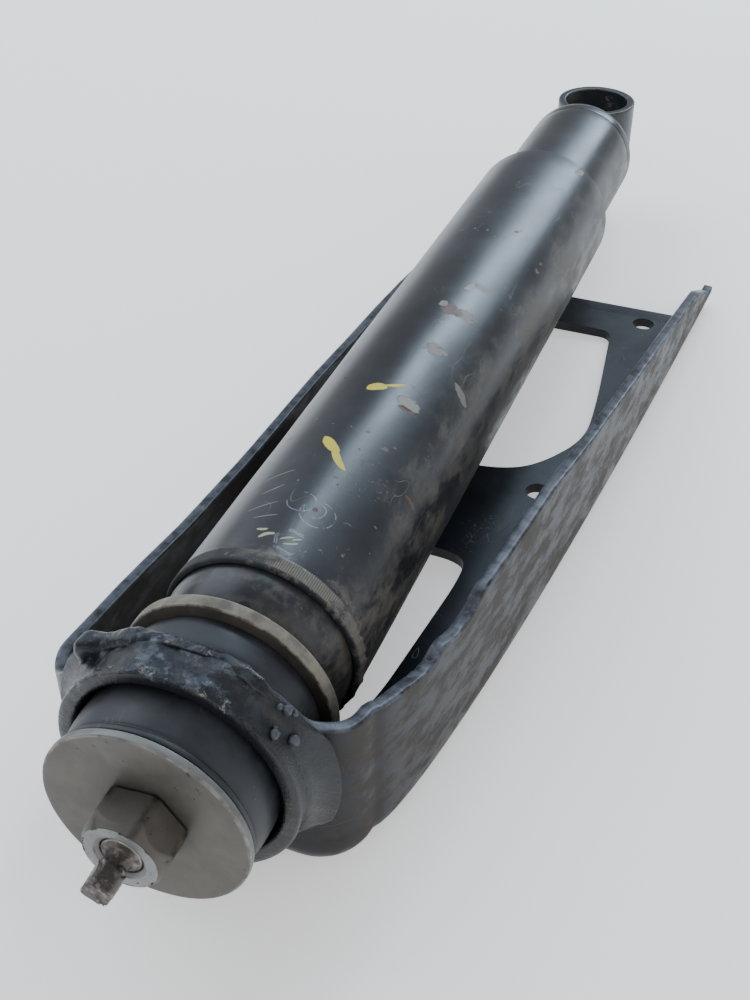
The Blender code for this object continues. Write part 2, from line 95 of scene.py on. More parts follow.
soft_light("window_strip", (0.105, 1.30, 0.93), (0, 0.05, 0.05), (0.15, 1.25), 15,
           (0.66, 0.83, 1.0), -33)
soft_light("left_sky", (-1.7, 0.5, 1.5), (0, 0.05, 0), (2.2, 2.0), 30, (0.80, 0.90, 1.0))
soft_light("right_fill", (1.6, -0.3, 0.9), (0, 0, 0), (1.2, 1.2), 5, (1.0, 0.97, 0.92))
soft_light("front_fill", (-0.2, -1.6, 0.9), (0, -0.1, 0), (1.4, 1.0), 6, (1.0, 1.0, 1.0))
sky = bpy.data.worlds.new("pale_sky")
sky.use_nodes = True
sky.node_tree.nodes["Background"].inputs["Color"].default_value = (0.92, 0.95, 1.0, 1)
sky.node_tree.nodes["Background"].inputs["Strength"].default_value = 0.45
bpy.context.scene.world = sky

# --- front washer ------------------------------------------------------------------------------
# A thick round pressing of zinc-plated steel, slightly dished towards the nut, which clamps the
# front bushing.  Its plating is dull, stained brown by road dirt and worn bright at the rim, and
# the rim is also coloured lighter than the face, a painted light.
AXIS_Z = 0.040                      # height of the damper's axis, which runs along Y
ZERO = -0.123                       # Y of the dust tube's near rim, from which places are counted


def rounded_profile(corners, steps=5):
    """Polyline of (radius, place, rounding) corners, in millimetres, with each corner rounded.

    Each corner is replaced by a quadratic curve that leaves and joins its two sides at the
    rounding's distance.  A negative rounding is the same size of curve, but unworn.  Returns the
    points in metres and their wear, which is 1 on a corner.
    """
    points = []
    wear = []
    count = len(corners)
    for index, (radius, place, rounding) in enumerate(corners):
        here = np.array([radius, place], float)
        before = np.array(corners[index - 1][:2], float)
        after = np.array(corners[(index + 1) % count][:2], float)
        back = np.linalg.norm(before - here)
        ahead = np.linalg.norm(after - here)
        if rounding == 0 or back == 0 or ahead == 0:
            points.append(here)
            wear.append(0.0)
            continue
        start = here + (before - here) * min(abs(rounding) / back, 0.45)
        end = here + (after - here) * min(abs(rounding) / ahead, 0.45)
        for t in np.linspace(0, 1, steps):
            points.append((1 - t) ** 2 * start + 2 * t * (1 - t) * here + t * t * end)
            wear.append(math.sin(math.pi * t) ** 0.5 if rounding > 0 else 0.0)
    return np.array(points) * 0.001, np.array(wear)


def spaced(points, wear, step, closed=True):
    """The same polyline with extra points, so that no two are further apart than a step."""
    if closed:
        points = np.vstack([points, points[:1]])
        wear = np.append(wear, wear[0])
    lengths = np.linalg.norm(np.diff(points, axis=0), axis=1)
    pieces = np.maximum(1, np.ceil(lengths / step)).astype(int)
    at = np.concatenate([np.arange(n) / n + i for i, n in enumerate(pieces)])
    if not closed:
        at = np.append(at, len(lengths))
    index = np.arange(len(points))
    dense = np.stack([np.interp(at, index, points[:, k]) for k in range(points.shape[1])], 1)
    return dense, np.interp(at, index, wear)


def lumps(points, size, seed):
    """Smooth value noise from -1 to 1: random values on a cubic lattice of the given size,
    blended between the eight nearest by smoothed steps."""
    table = np.random.default_rng(seed).uniform(-1, 1, (24, 24, 24))
    scaled = np.asarray(points) / size
    cell = np.floor(scaled).astype(int)
    t = scaled - cell
    t = t * t * (3 - 2 * t)
    total = 0
    for dx in (0, 1):
        for dy in (0, 1):
            for dz in (0, 1):
                value = table[(cell[..., 0] + dx) % 24, (cell[..., 1] + dy) % 24,
                              (cell[..., 2] + dz) % 24]
                weight = np.where(dx, t[..., 0], 1 - t[..., 0])
                weight = weight * np.where(dy, t[..., 1], 1 - t[..., 1])
                weight = weight * np.where(dz, t[..., 2], 1 - t[..., 2])
                total = total + value * weight
    return total


def around_axis(angle, place, radius):
    """Points at (r sin a, place, r cos a) for an angle a from straight up towards +X."""
    return np.stack([radius * np.sin(angle), place, radius * np.cos(angle)], 2)


def grid_piece(name, points, wear, wrap_u=True, wrap_v=True, flip=False):
    """Mesh object of a grid of points, shape (u, v, 3), wrapped round in u and in v if asked."""
    nu, nv = points.shape[:2]
    u = np.arange(nu if wrap_u else nu - 1)
    v = np.arange(nv if wrap_v else nv - 1)
    u, v = [a.ravel() for a in np.meshgrid(u, v, indexing="ij")]
    un, vn = (u + 1) % nu, (v + 1) % nv
    quads = np.stack([u * nv + v, un * nv + v, un * nv + vn, u * nv + vn], 1)
    if flip:
        quads = quads[:, ::-1]
    mesh = bpy.data.meshes.new(name)
    mesh.from_pydata(points.reshape(-1, 3).tolist(), [], quads.tolist())
    layer = mesh.attributes.new("wear", "FLOAT", "POINT")
    values = np.broadcast_to(wear, (nu, nv)).ravel().astype(np.float32)
    layer.data.foreach_set("value", values)
    bm = bmesh.new()
    bm.from_mesh(mesh)
    bmesh.ops.remove_doubles(bm, verts=bm.verts, dist=0.000002)
    bmesh.ops.recalc_face_normals(bm, faces=bm.faces)
    bm.to_mesh(mesh)
    bm.free()
    mesh.shade_smooth()
    obj = bpy.data.objects.new(name, mesh)
    bpy.context.scene.collection.objects.link(obj)
    return obj


def turned(name, corners, segments=160, step=0.002, shape=None, open_ends=False):
    """Surface of revolution about the damper's axis.

    The profile, in (radius, place), is carried round the axis.  shape(angle, place, radius) may
    return a new radius and a new place for each point of the grid, and a wear value to add.
    """
    profile, wear = rounded_profile(corners)
    profile, wear = spaced(profile, wear, step, closed=not open_ends)
    angle = np.linspace(0, 2 * math.pi, segments, endpoint=False)[:, None]
    radius = np.broadcast_to(profile[:, 0], (segments, len(profile))).copy()
    place = np.broadcast_to(profile[:, 1], (segments, len(profile))).copy()
    if shape is not None:
        radius, place, *worn = shape(angle, place, radius)
        if worn:
            wear = np.maximum(wear, worn[0])
    points = around_axis(angle, place, radius) + [0, ZERO, AXIS_Z]
    return grid_piece(name, points, wear, wrap_v=not open_ends)


def add(tree, kind, inputs=None, **settings):
    """New shader node with its settings; an input is a value, or a socket to link from."""
    made = tree.nodes.new(kind)
    for key, value in settings.items():
        setattr(made, key, value)
    for key, value in (inputs or {}).items():
        if isinstance(value, bpy.types.NodeSocket):
            tree.links.new(value, made.inputs[key])
        else:
            made.inputs[key].default_value = value
    return made


def calc(tree, operation, a, b=0.0, clamp=False):
    """Result of a Math node."""
    return add(tree, "ShaderNodeMath", {0: a, 1: b}, operation=operation,
               use_clamp=clamp).outputs[0]


def vector_calc(tree, operation, a, b=(0.0, 0.0, 0.0), output="Vector"):
    """Result of a Vector Math node, or its number where output is Value."""
    return add(tree, "ShaderNodeVectorMath", {0: a, 1: b}, operation=operation).outputs[output]


def parts(tree, vector):
    """The three parts of a vector."""
    return add(tree, "ShaderNodeSeparateXYZ", {0: vector}).outputs


def surface_normal(tree):
    """Normal of the surface."""
    return add(tree, "ShaderNodeNewGeometry").outputs["Normal"]


def noise(tree, place, scale, detail=6.0, roughness=0.6, distortion=0.0):
    """Fractal noise from 0 to 1."""
    return add(tree, "ShaderNodeTexNoise", {"Vector": place, "Scale": scale, "Detail": detail,
               "Roughness": roughness, "Distortion": distortion}).outputs["Fac"]


def times(tree, *values):
    """Product of several values or sockets."""
    product = values[0]
    for value in values[1:]:
        product = calc(tree, "MULTIPLY", product, value)
    return product


def ramp(tree, value, low, high, out_low=0.0, out_high=1.0):
    """Smooth step of a value from out_low at low to out_high at high."""
    inputs = {"Value": value, "From Min": low, "From Max": high, "To Min": out_low,
              "To Max": out_high}
    return add(tree, "ShaderNodeMapRange", inputs,
               interpolation_type="SMOOTHSTEP").outputs["Result"]


def blend_color(tree, factor, first, second):
    """Mix of two colours, each a tuple or a socket."""
    mixer = add(tree, "ShaderNodeMix", data_type="RGBA")
    for socket, value in ((mixer.inputs[0], factor), (mixer.inputs[6], first),
                          (mixer.inputs[7], second)):
        if isinstance(value, bpy.types.NodeSocket):
            tree.links.new(value, socket)
        elif isinstance(value, tuple):
            socket.default_value = (*value, 1.0)
        else:
            socket.default_value = value
    return mixer.outputs[2]


def new_group(name, inputs, outputs):
    """Empty shader node group, with the sockets that it is given and those it has to fill."""
    group = bpy.data.node_groups.new(name, "ShaderNodeTree")
    for label, kind, value in inputs:
        socket = group.interface.new_socket(label, in_out="INPUT", socket_type=kind)
        if value is not None:
            socket.default_value = value
    for label, kind in outputs:
        group.interface.new_socket(label, in_out="OUTPUT", socket_type=kind)
    return group, add(group, "NodeGroupInput").outputs, add(group, "NodeGroupOutput").inputs


FLOAT, VECTOR = "NodeSocketFloat", "NodeSocketVector"


def make_patches():
    """Irregular patches: noise over a threshold, gathered into clusters by a coarser noise."""
    group, given, result = new_group("patches", [
        ("Vector", VECTOR, None), ("Scale", FLOAT, 100.0), ("Cluster Scale", FLOAT, 20.0),
        ("Threshold", FLOAT, 0.6), ("Softness", FLOAT, 0.02)], [("Mask", FLOAT)])
    fine = noise(group, given["Vector"], given["Scale"], 7.0, 0.62)
    coarse = noise(group, given["Vector"], given["Cluster Scale"], 2.0, 0.5)
    both = calc(group, "ADD", times(group, fine, 0.6), times(group, coarse, 0.4))
    high = calc(group, "ADD", given["Threshold"], given["Softness"])
    group.links.new(ramp(group, both, given["Threshold"], high), result["Mask"])
    return group


def make_scratches():
    """Thin wandering lines: the zero crossings of a noise that is stretched along one axis."""
    group, given, result = new_group("scratches", [
        ("Vector", VECTOR, None), ("Scale", FLOAT, 40.0), ("Stretch", VECTOR, (1.0, 1.0, 1.0)),
        ("Width", FLOAT, 0.004), ("Cover", FLOAT, 0.5)], [("Mask", FLOAT)])
    stretched = vector_calc(group, "MULTIPLY", given["Vector"], given["Stretch"])
    lines = noise(group, stretched, given["Scale"], 2.0, 0.6)
    off = calc(group, "ABSOLUTE", calc(group, "SUBTRACT", lines, 0.5))
    thin = ramp(group, off, 0.0, given["Width"], 1.0, 0.0)
    where = noise(group, given["Vector"], 35.0, 1.0, 0.5)
    high = calc(group, "ADD", given["Cover"], 0.08)
    kept = ramp(group, where, given["Cover"], high)
    group.links.new(times(group, thin, kept), result["Mask"])
    return group


def make_settled():
    """Dust mask: strongest on faces that look along a given direction, broken up by noise."""
    group, given, result = new_group("settled_dust", [
        ("Vector", VECTOR, None), ("Direction", VECTOR, (0.0, 0.0, 1.0)), ("From", FLOAT, 0.0),
        ("To", FLOAT, 1.0), ("Scale", FLOAT, 60.0), ("Breakup", FLOAT, 0.6)], [("Mask", FLOAT)])
    facing = vector_calc(group, "DOT_PRODUCT", surface_normal(group), given["Direction"], "Value")
    uneven = noise(group, given["Vector"], given["Scale"], 8.0, 0.68)
    shift = times(group, calc(group, "SUBTRACT", uneven, 0.5), given["Breakup"])
    total = calc(group, "ADD", facing, times(group, shift, 2.0))
    group.links.new(ramp(group, total, given["From"], given["To"]),
                    result["Mask"])
    return group


PATCHES = make_patches()
SCRATCHES = make_scratches()
SETTLED = make_settled()


def mask(tree, group, **inputs):
    """Output of one of the mask groups, placed in a material with its own values."""
    made = add(tree, "ShaderNodeGroup", node_tree=group)
    for key, value in inputs.items():
        socket = made.inputs[key.replace("_", " ")]
        if isinstance(value, bpy.types.NodeSocket):
            tree.links.new(value, socket)
        else:
            socket.default_value = value
    return made.outputs[0]


def new_material(name):
    """Material with an empty Principled surface; returns it with its tree, shader and place."""
    material = bpy.data.materials.new(name)
    material.use_nodes = True
    tree = material.node_tree
    shader = tree.nodes["Principled BSDF"]
    place = add(tree, "ShaderNodeTexCoord").outputs["Object"]
    return material, tree, shader, place


def plug(tree, shader, color=None, roughness=None, metallic=None, height=None,
         distance=0.0002, strength=0.6):
    """Join the finished colour, roughness, metallic value and relief to the surface."""
    for key, value in (("Base Color", color), ("Roughness", roughness), ("Metallic", metallic)):
        if isinstance(value, bpy.types.NodeSocket):
            tree.links.new(value, shader.inputs[key])
        elif value is not None:
            shader.inputs[key].default_value = (*value, 1.0) if key == "Base Color" else value
    if height is not None:
        relief = add(tree, "ShaderNodeBump", {"Height": height, "Distance": distance,
                     "Strength": strength})
        tree.links.new(relief.outputs["Normal"], shader.inputs["Normal"])


def wear_of(tree):
    """Wear painted on a piece's points, from 0 to 1."""
    return add(tree, "ShaderNodeAttribute", attribute_name="wear").outputs["Fac"]


def plated_steel(name, dull, stained, bright, stain_from=0.45, pits_at=0.585, sides=None):
    """Dull zinc plate: mottled grey, stained by dirt, rubbed bright on its edges.

    sides, if given, is a painted light and shade: the colour of the faces that don't look
    along the damper, set apart from the faces that do as the light falls on them.
    """
    material, tree, shader, place = new_material(name)
    mottle = noise(tree, place, 90.0, 8.0, 0.65)
    base = blend_color(tree, ramp(tree, mottle, 0.35, 0.65), dull, tuple(c * 1.28 for c in dull))
    if sides:
        # Painted light and shade: the same zinc takes two colours by the direction its faces look.
        along = parts(tree, surface_normal(tree))["Y"]
        base = blend_color(tree, ramp(tree, calc(tree, "ABSOLUTE", along), 0.5, 0.8), sides, base)
    stain = ramp(tree, noise(tree, place, 38.0, 9.0, 0.7), stain_from, stain_from + 0.2)
    color = blend_color(tree, times(tree, stain, 0.75), base, stained)
    pits = mask(tree, PATCHES, Vector=place, Scale=520.0, Cluster_Scale=60.0,
                Threshold=pits_at, Softness=0.03)
    color = blend_color(tree, times(tree, pits, 0.8), color, (0.035, 0.030, 0.026))
    rubbed = times(tree, wear_of(tree), ramp(tree, noise(tree, place, 160.0, 5.0), 0.38, 0.6))
    color = blend_color(tree, times(tree, rubbed, 0.8), color, bright)
    rough = calc(tree, "SUBTRACT", calc(tree, "ADD", times(tree, mottle, 0.25), 0.42),
                 times(tree, rubbed, 0.15))
    grain = calc(tree, "SUBTRACT", noise(tree, place, 900.0, 4.0), times(tree, pits, 1.5))
    metal = calc(tree, "SUBTRACT", 0.62, times(tree, stain, 0.35))
    plug(tree, shader, color, rough, metal, grain, 0.00008, 0.5)
    return material


def dished(angle, place, radius):
    """The face sinks by half a millimetre from the rim to the nut, with shallow dents."""
    at = around_axis(angle, place, radius)
    sink = 0.0005 * np.clip((0.026 - radius) / 0.014, 0, 1) * (place < -0.0648)
    return radius, place + sink + 0.00012 * lumps(at, 0.011, 3) + 0.00005 * lumps(at, 0.004, 4)


front_washer = turned("front_washer_plate", [
    (28.8, -63.5, 0.5), (28.8, -66.0, 0.9), (6.0, -66.0, 0.2), (6.0, -63.5, 0.2)],
    224, 0.0011, dished)
# The last colour is a painted light: the rim is coloured lighter than the washer's face.
front_washer.data.materials.append(
    plated_steel("stained_zinc_painted_rim_light", (0.112, 0.106, 0.094), (0.080, 0.070, 0.058),
                 (0.27, 0.27, 0.25), 0.46, 0.635, (0.21, 0.215, 0.21)))
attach(front_washer, "rod_side")
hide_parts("front_washer")

# --- rear washer -------------------------------------------------------------------------------
# The same kind of washer, thicker and wider, between the rear bushing and the dust cap.  Dry
# clay-coloured dust cakes its square rim and a little of its face, which is kept dark as painted
# shade.
rear_washer = turned("rear_washer_plate", [
    (31.7, -17.0, 0.7), (31.7, -21.4, 0.8), (6.0, -21.4, 0.2), (6.0, -17.0, 0.2)],
    192, 0.0015)


def dusty_steel_painted_shade(name):
    """Brown-grey steel: a skin of pale clay dust on the rim, rubbed through; a face darkened as
    painted shade.
    """
    material, tree, shader, place = new_material(name)
    base = blend_color(tree, ramp(tree, noise(tree, place, 120.0, 8.0), 0.35, 0.65),
                       (0.040, 0.034, 0.031), (0.075, 0.063, 0.055))
    along = parts(tree, surface_normal(tree))["Y"]
    # Painted shade: faces that look along the damper keep the dark base and take little dust; the
    # rim takes the clay.
    rim = ramp(tree, calc(tree, "ABSOLUTE", along), 0.3, 0.8, 1.0, 0.12)
    skin = ramp(tree, noise(tree, place, 90.0, 9.0, 0.75), 0.34, 0.60, 0.35, 1.0)
    color = blend_color(tree, times(tree, rim, skin), base, (0.270, 0.243, 0.195))
    rubbed = times(tree, wear_of(tree), ramp(tree, noise(tree, place, 300.0), 0.4, 0.6))
    color = blend_color(tree, times(tree, rubbed, 0.5), color, (0.42, 0.39, 0.33))
    grain = noise(tree, place, 1100.0, 5.0, 0.7)
    plug(tree, shader, color, 0.68, 0.2, grain, 0.0001, 0.6)
    return material


rear_washer.data.materials.append(dusty_steel_painted_shade("dust_caked_steel_painted_shade"))
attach(rear_washer, "rod_side")
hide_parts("rear_washer")

# --- rubber bushings ---------------------------------------------------------------------------
# Two moulded rubber rings squeezed by the washers against the end wall.  The rubber is smooth
# and dark, with a grey-blue bloom.


def bushing_rubber(name):
    """Dark rubber with a faint grey bloom and fine scuffs."""
    material, tree, shader, place = new_material(name)
    bloom = ramp(tree, noise(tree, place, 55.0, 7.0, 0.66), 0.35, 0.7)
    color = blend_color(tree, bloom, (0.014, 0.016, 0.020), (0.036, 0.042, 0.050))
    scuffs = mask(tree, SCRATCHES, Vector=place, Scale=120.0, Stretch=(1.0, 0.25, 1.0),
                  Width=0.01, Cover=0.52)
    color = blend_color(tree, times(tree, scuffs, 0.35), color, (0.16, 0.16, 0.155))
    specks = mask(tree, PATCHES, Vector=place, Scale=700.0, Cluster_Scale=80.0, Threshold=0.66,
                  Softness=0.02)
    color = blend_color(tree, specks, color, (0.30, 0.27, 0.22))
    rough = ramp(tree, bloom, 0.0, 1.0, 0.44, 0.62)
    plug(tree, shader, color, rough, 0.0, noise(tree, place, 1400.0, 3.0), 0.00005, 0.4)
    return material


rubber = bushing_rubber("bloomed_rubber")
front_bushing = turned("front_bushing_rubber", [
    (9.7, -36.5, 0.3), (9.7, -38.3, 0.3), (26.8, -38.3, 0.5), (28.4, -46.0, 4.0),
    (28.3, -55.0, 3.0), (27.5, -59.6, 0.9), (27.0, -60.4, 0.4), (28.2, -61.2, 0.7),
    (28.2, -62.9, 0.5), (27.4, -63.2, 0.3), (8.3, -63.2, 0.3), (8.3, -36.5, 0.3)], 160, 0.0015)
rear_bushing = turned("rear_bushing_rubber", [
    (28.0, -21.7, 0.6), (29.0, -24.5, 1.5), (29.0, -31.0, 1.5), (28.2, -33.7, 0.6),
    (9.7, -33.7, 0.3), (9.7, -35.7, 0.3), (8.3, -35.7, 0.3), (8.3, -21.7, 0.3)], 160, 0.0015)
for ring, node, wall_side, washer_side in (
        (front_bushing, "front_bushing", -0.0386, -0.0600),
        (rear_bushing, "rear_bushing", -0.0337, -0.0230)):
    ring.data.materials.append(rubber)
    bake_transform(ring)
    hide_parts(node)

# --- stem nut ----------------------------------------------------------------------------------
# A hexagon nut, 22 mm across its flats, forged and zinc plated.  Both ends are chamfered, the
# thread starts in a shallow countersink, and a spanner has bruised its corners dark.


def hexagon_radius(angle, flats, corner):
    """Radius of a hexagon with rounded corners: a soft minimum of its six sides' distances."""
    folded = (angle % (math.pi / 3)) - math.pi / 6
    side = flats / 2 / np.cos(folded)
    limit = flats / 2 * corner
    return -np.log(np.exp(-side * 9000) + np.exp(-limit * 9000)) / 9000


def nut_shape(angle, place, radius):
    """Outer wall follows the hexagon, cut by a cone at each end; its corners wear."""
    turn = angle - math.radians(24)
    hexagon = hexagon_radius(turn, 0.022, 1.135)
    near_cone = 0.0102 + (place + 0.0778) * 0.6
    far_cone = 0.0118 + (-0.0661 - place) * 2.2
    wall = np.minimum(np.minimum(hexagon, near_cone), far_cone)
    at = around_axis(angle, place, radius)
    wall = wall + 0.00012 * lumps(at, 0.004, 6)
    outside = radius > 0.0096
    corner = np.clip((hexagon - 0.0118) / 0.0006, 0, 1) * outside
    return np.where(outside, np.minimum(wall, radius * 1.25), radius), place, corner


stem_nut = turned("stem_nut_hexagon", [
    (13.0, -66.2, 0.2), (13.0, -77.8, 0.2), (7.0, -77.8, 0.4), (5.9, -76.8, 0.3),
    (5.9, -66.2, 0.2)], 288, 0.0005, nut_shape)
# Painted light: the end faces and chamfers take the light grey; the flats take the last, darker
# colour as painted shade.
nut_zinc_painted_light = plated_steel("pitted_zinc_painted_light", (0.235, 0.240, 0.235), (0.105, 0.098, 0.086),
                          (0.050, 0.045, 0.040), 0.47, 0.60, (0.115, 0.104, 0.090))
stem_nut.data.materials.append(nut_zinc_painted_light)
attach(stem_nut, "rod_side")
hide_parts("stem_nut")

# --- stem --------------------------------------------------------------------------------------
# The end of the piston rod: a rolled thread that stops flush with the nut, a thin neck, and a
# forged square that a spanner holds while the nut is turned.  Bare steel, browned by rust.


def stem_shape(angle, place, radius):
    """Section grows from round to a rounded square ahead of the neck: a superellipse whose
    power rises from 2 to 10 towards the tip, with hammered dents and chipped corners."""
    blend = np.clip((-0.0806 - place) / 0.0018, 0, 1)
    blend = blend * blend * (3 - 2 * blend)
    power = 2 + 8 * blend
    turn = angle - math.radians(27)
    square = (np.abs(np.cos(turn)) ** power + np.abs(np.sin(turn)) ** power) ** (-1 / power)
    at = around_axis(angle, place, radius)
    dents = 0.00018 * lumps(at, 0.0022, 5) + 0.00008 * lumps(at, 0.0009, 7)
    chips = 0.0007 * np.clip(square - 1.16, 0, 1) / 0.1 * (lumps(at, 0.0016, 8) > 0.15)
    exposed = place < -0.078
    wear = np.clip(square - 1.12, 0, 0.12) / 0.12 * blend * 0.5 * (radius > 0.0033)
    return radius * np.where(exposed, square, 1) + (dents - chips) * blend, place, wear


stem = turned("stem_rod", [
    (0, 332, 0), (5.0, 332, 0.6), (5.0, 307.7, 0.2), (7.0, 307.7, 0.2), (7.0, -16.9, 0.2),
    (5.7, -16.9, 0.2), (5.7, -76.9, 0.6), (3.7, -77.9, -0.6), (3.25, -79.6, -0.8),
    (3.4, -81.4, -0.6), (3.75, -82.4, -0.5), (3.75, -88.1, -0.4), (3.2, -88.7, -0.3),
    (0, -88.6, 0)], 144, 0.00045, stem_shape, open_ends=True)


def browned_steel(name):
    """Bare forged steel: grey-brown, rust in its hollows, bright on its corners."""
    material, tree, shader, place = new_material(name)
    patch = ramp(tree, noise(tree, place, 240.0, 8.0, 0.7), 0.4, 0.62)
    color = blend_color(tree, patch, (0.105, 0.094, 0.084), (0.055, 0.042, 0.036))
    bright = times(tree, ramp(tree, noise(tree, place, 420.0, 4.0), 0.5, 0.62), 0.25)
    bright = calc(tree, "MAXIMUM", bright, times(tree, wear_of(tree), 0.8))
    color = blend_color(tree, bright, color, (0.46, 0.44, 0.41))
    metal = ramp(tree, patch, 0.0, 1.0, 0.85, 0.35)
    rough = ramp(tree, patch, 0.0, 1.0, 0.38, 0.66)
    plug(tree, shader, color, rough, metal, noise(tree, place, 700.0, 6.0, 0.7), 0.0002, 0.6)
    return material


stem.data.materials.append(browned_steel("browned_forged_steel"))
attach(stem, "rod_side")
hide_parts("piston_rod")

# --- dust tube ---------------------------------------------------------------------------------
# A thin rolled steel tube, black stoved paint, pressed over the cap's skirt.  A knurled band
# 5 mm wide grips the skirt.  Grit has chipped and scratched the paint and dust cakes its lee side.


TUBE_R = 0.030
KNURL_TEETH = 264
KNURL_WIDTH = 0.0052


def tube_shape(angle, place, radius):
    """Knurled teeth along the band, and shallow dents over the whole tube."""
    outside = radius > 0.0294
    band = np.clip(np.minimum(place - 0.0002, KNURL_WIDTH - place) / 0.0004, 0, 1) * outside
    teeth = np.abs(np.sin(KNURL_TEETH / 2 * angle)) ** 0.8
    at = around_axis(angle, place, radius)
    dents = 0.00016 * lumps(at, 0.034, 11) + 0.00005 * lumps(at, 0.009, 12)
    torn = np.clip(np.sin(angle - 0.75) * 2 - 0.2, 0, 1) * np.clip(0.009 - place, 0, 0.002) / 0.002
    crushed = torn * (0.0005 * lumps(at, 0.0022, 13) + 0.0003 * lumps(at, 0.001, 14))
    return radius + dents + band * (0.00004 + 0.00013 * teeth) + outside * crushed, place


dust_tube = turned("dust_tube_shell", [
    (30.0, 291.0, 0.5), (30.0, 9.0, 0), (30.0, 8.0, 0), (30.0, 7.0, 0), (30.0, 6.2, 0),
    (30.0, 5.6, 0), (30.0, 5.2, 0), (30.0, 4.8, 0), (30.0, 3.6, 0), (30.0, 2.4, 0),
    (30.0, 1.2, 0), (30.0, 0.6, 0), (30.0, 0.2, 0), (29.6, 0.0, 0), (28.5, 0.0, 0.2),
    (28.5, 3.0, 0), (28.5, 291.0, 0.3)], 1320, 0.012, tube_shape)


def make_tube_coordinates():
    """Object position unrolled from a cylinder: distance round from the top, place along it."""
    group, given, result = new_group(
        "unrolled", [("Vector", VECTOR, None), ("Radius", FLOAT, TUBE_R)], [("Unrolled", VECTOR)])
    split = parts(group, given["Vector"])
    angle = calc(group, "ARCTAN2", split["X"], calc(group, "SUBTRACT", split["Z"], AXIS_Z))
    round_way = times(group, angle, given["Radius"])
    place = calc(group, "SUBTRACT", split["Y"], ZERO)
    joined = add(group, "ShaderNodeCombineXYZ", {"X": round_way, "Y": place})
    group.links.new(joined.outputs[0], result["Unrolled"])
    return group


def make_blot():
    """Blot of a given centre, half size and turn on an unrolled tube, with a ragged edge."""
    group, given, result = new_group("blot", [
        ("Unrolled", VECTOR, None), ("Centre", VECTOR, (0.0, 0.0, 0.0)),
        ("Half Size", VECTOR, (0.005, 0.005, 1.0)), ("Turn", FLOAT, 0.0),
        ("Ragged", FLOAT, 0.5), ("Bend", FLOAT, 0.0)], [("Mask", FLOAT)])
    offset = vector_calc(group, "SUBTRACT", given["Unrolled"], given["Centre"])
    turned_to = add(group, "ShaderNodeVectorRotate", {"Vector": offset, "Angle": given["Turn"]},
                    rotation_type="Z_AXIS").outputs[0]
    split = parts(group, vector_calc(group, "DIVIDE", turned_to, given["Half Size"]))
    bow = times(group, calc(group, "POWER", calc(group, "ABSOLUTE", split["X"]), 2.0),
                given["Bend"])
    bent = add(group, "ShaderNodeCombineXYZ",
               {"X": split["X"], "Y": calc(group, "ADD", split["Y"], bow)}).outputs[0]
    reach = vector_calc(group, "LENGTH", bent, output="Value")
    rough = noise(group, given["Unrolled"], 330.0, 6.0, 0.65)
    edge = times(group, calc(group, "SUBTRACT", rough, 0.5), given["Ragged"])
    total = calc(group, "ADD", reach, times(group, edge, 4.0))
    group.links.new(ramp(group, total, 0.86, 1.0, 1.0, 0.0), result["Mask"])
    return group


UNROLLED = make_tube_coordinates()
BLOT = make_blot()

BLACK = (0.0095, 0.0110, 0.0145)
BLACK_FADED = (0.026, 0.029, 0.036)
CLAY = (0.150, 0.137, 0.116)
PRIMER = (0.155, 0.152, 0.145)
RUST = (0.150, 0.062, 0.038)


def struck_line(tree, unrolled, centre, size, sides):
    """Thin broken scratch round a centre on an unrolled tube: a circle, or a hexagon, whose
    distance is the greatest of those along its three axes."""
    offset = vector_calc(tree, "SUBTRACT", unrolled, (*centre, 0.0))
    if sides:
        reach = 0.0
        for turn in (20, 80, 140):
            axis = (math.cos(math.radians(turn)), math.sin(math.radians(turn)), 0.0)
            across = vector_calc(tree, "DOT_PRODUCT", offset, axis, "Value")
            reach = calc(tree, "MAXIMUM", calc(tree, "ABSOLUTE", across), reach)
    else:
        reach = vector_calc(tree, "LENGTH", offset, output="Value")
    wander = times(tree, noise(tree, unrolled, 400.0, 2.0), 0.0008)
    off = calc(tree, "ABSOLUTE", calc(tree, "SUBTRACT", calc(tree, "ADD", reach, wander), size))
    thin = ramp(tree, off, 0.00005, 0.00024, 1.0, 0.0)
    kept = ramp(tree, noise(tree, unrolled, 260.0, 3.0), 0.44, 0.52)
    return times(tree, thin, kept)


def knurl_cake(tree, place, unrolled):
    """Clay between the teeth of the knurled band, thick on its right side and smeared past it.
    Also returns the band's own mask."""
    split = parts(tree, unrolled)
    wander = times(tree, noise(tree, place, 300.0), 0.002)
    on_band = ramp(tree, calc(tree, "ADD", split["Y"], wander), 0.0055, 0.0068, 1.0, 0.0)
    turns = times(tree, split["X"], KNURL_TEETH / 2 / TUBE_R)
    tooth = calc(tree, "ABSOLUTE", calc(tree, "SINE", turns))
    lee_side = ramp(tree, split["X"], -0.010, 0.004, 0.15, 1.0)
    torn_edge = ramp(tree, split["Y"], 0.0003, 0.0011)
    clots = ramp(tree, noise(tree, place, 110.0, 8.0, 0.7), 0.38, 0.52, 0.12, 0.9)
    cake = times(tree, ramp(tree, tooth, 0.2, 0.8, 0.45, 1.0), clots, lee_side, torn_edge)
    past_band = ramp(tree, split["Y"], 0.006, 0.013, 0.6, 0.0)
    smear = times(tree, past_band, lee_side,
                  ramp(tree, noise(tree, place, 90.0, 9.0, 0.75), 0.50, 0.60))
    return calc(tree, "MAXIMUM", times(tree, on_band, cake), smear), on_band


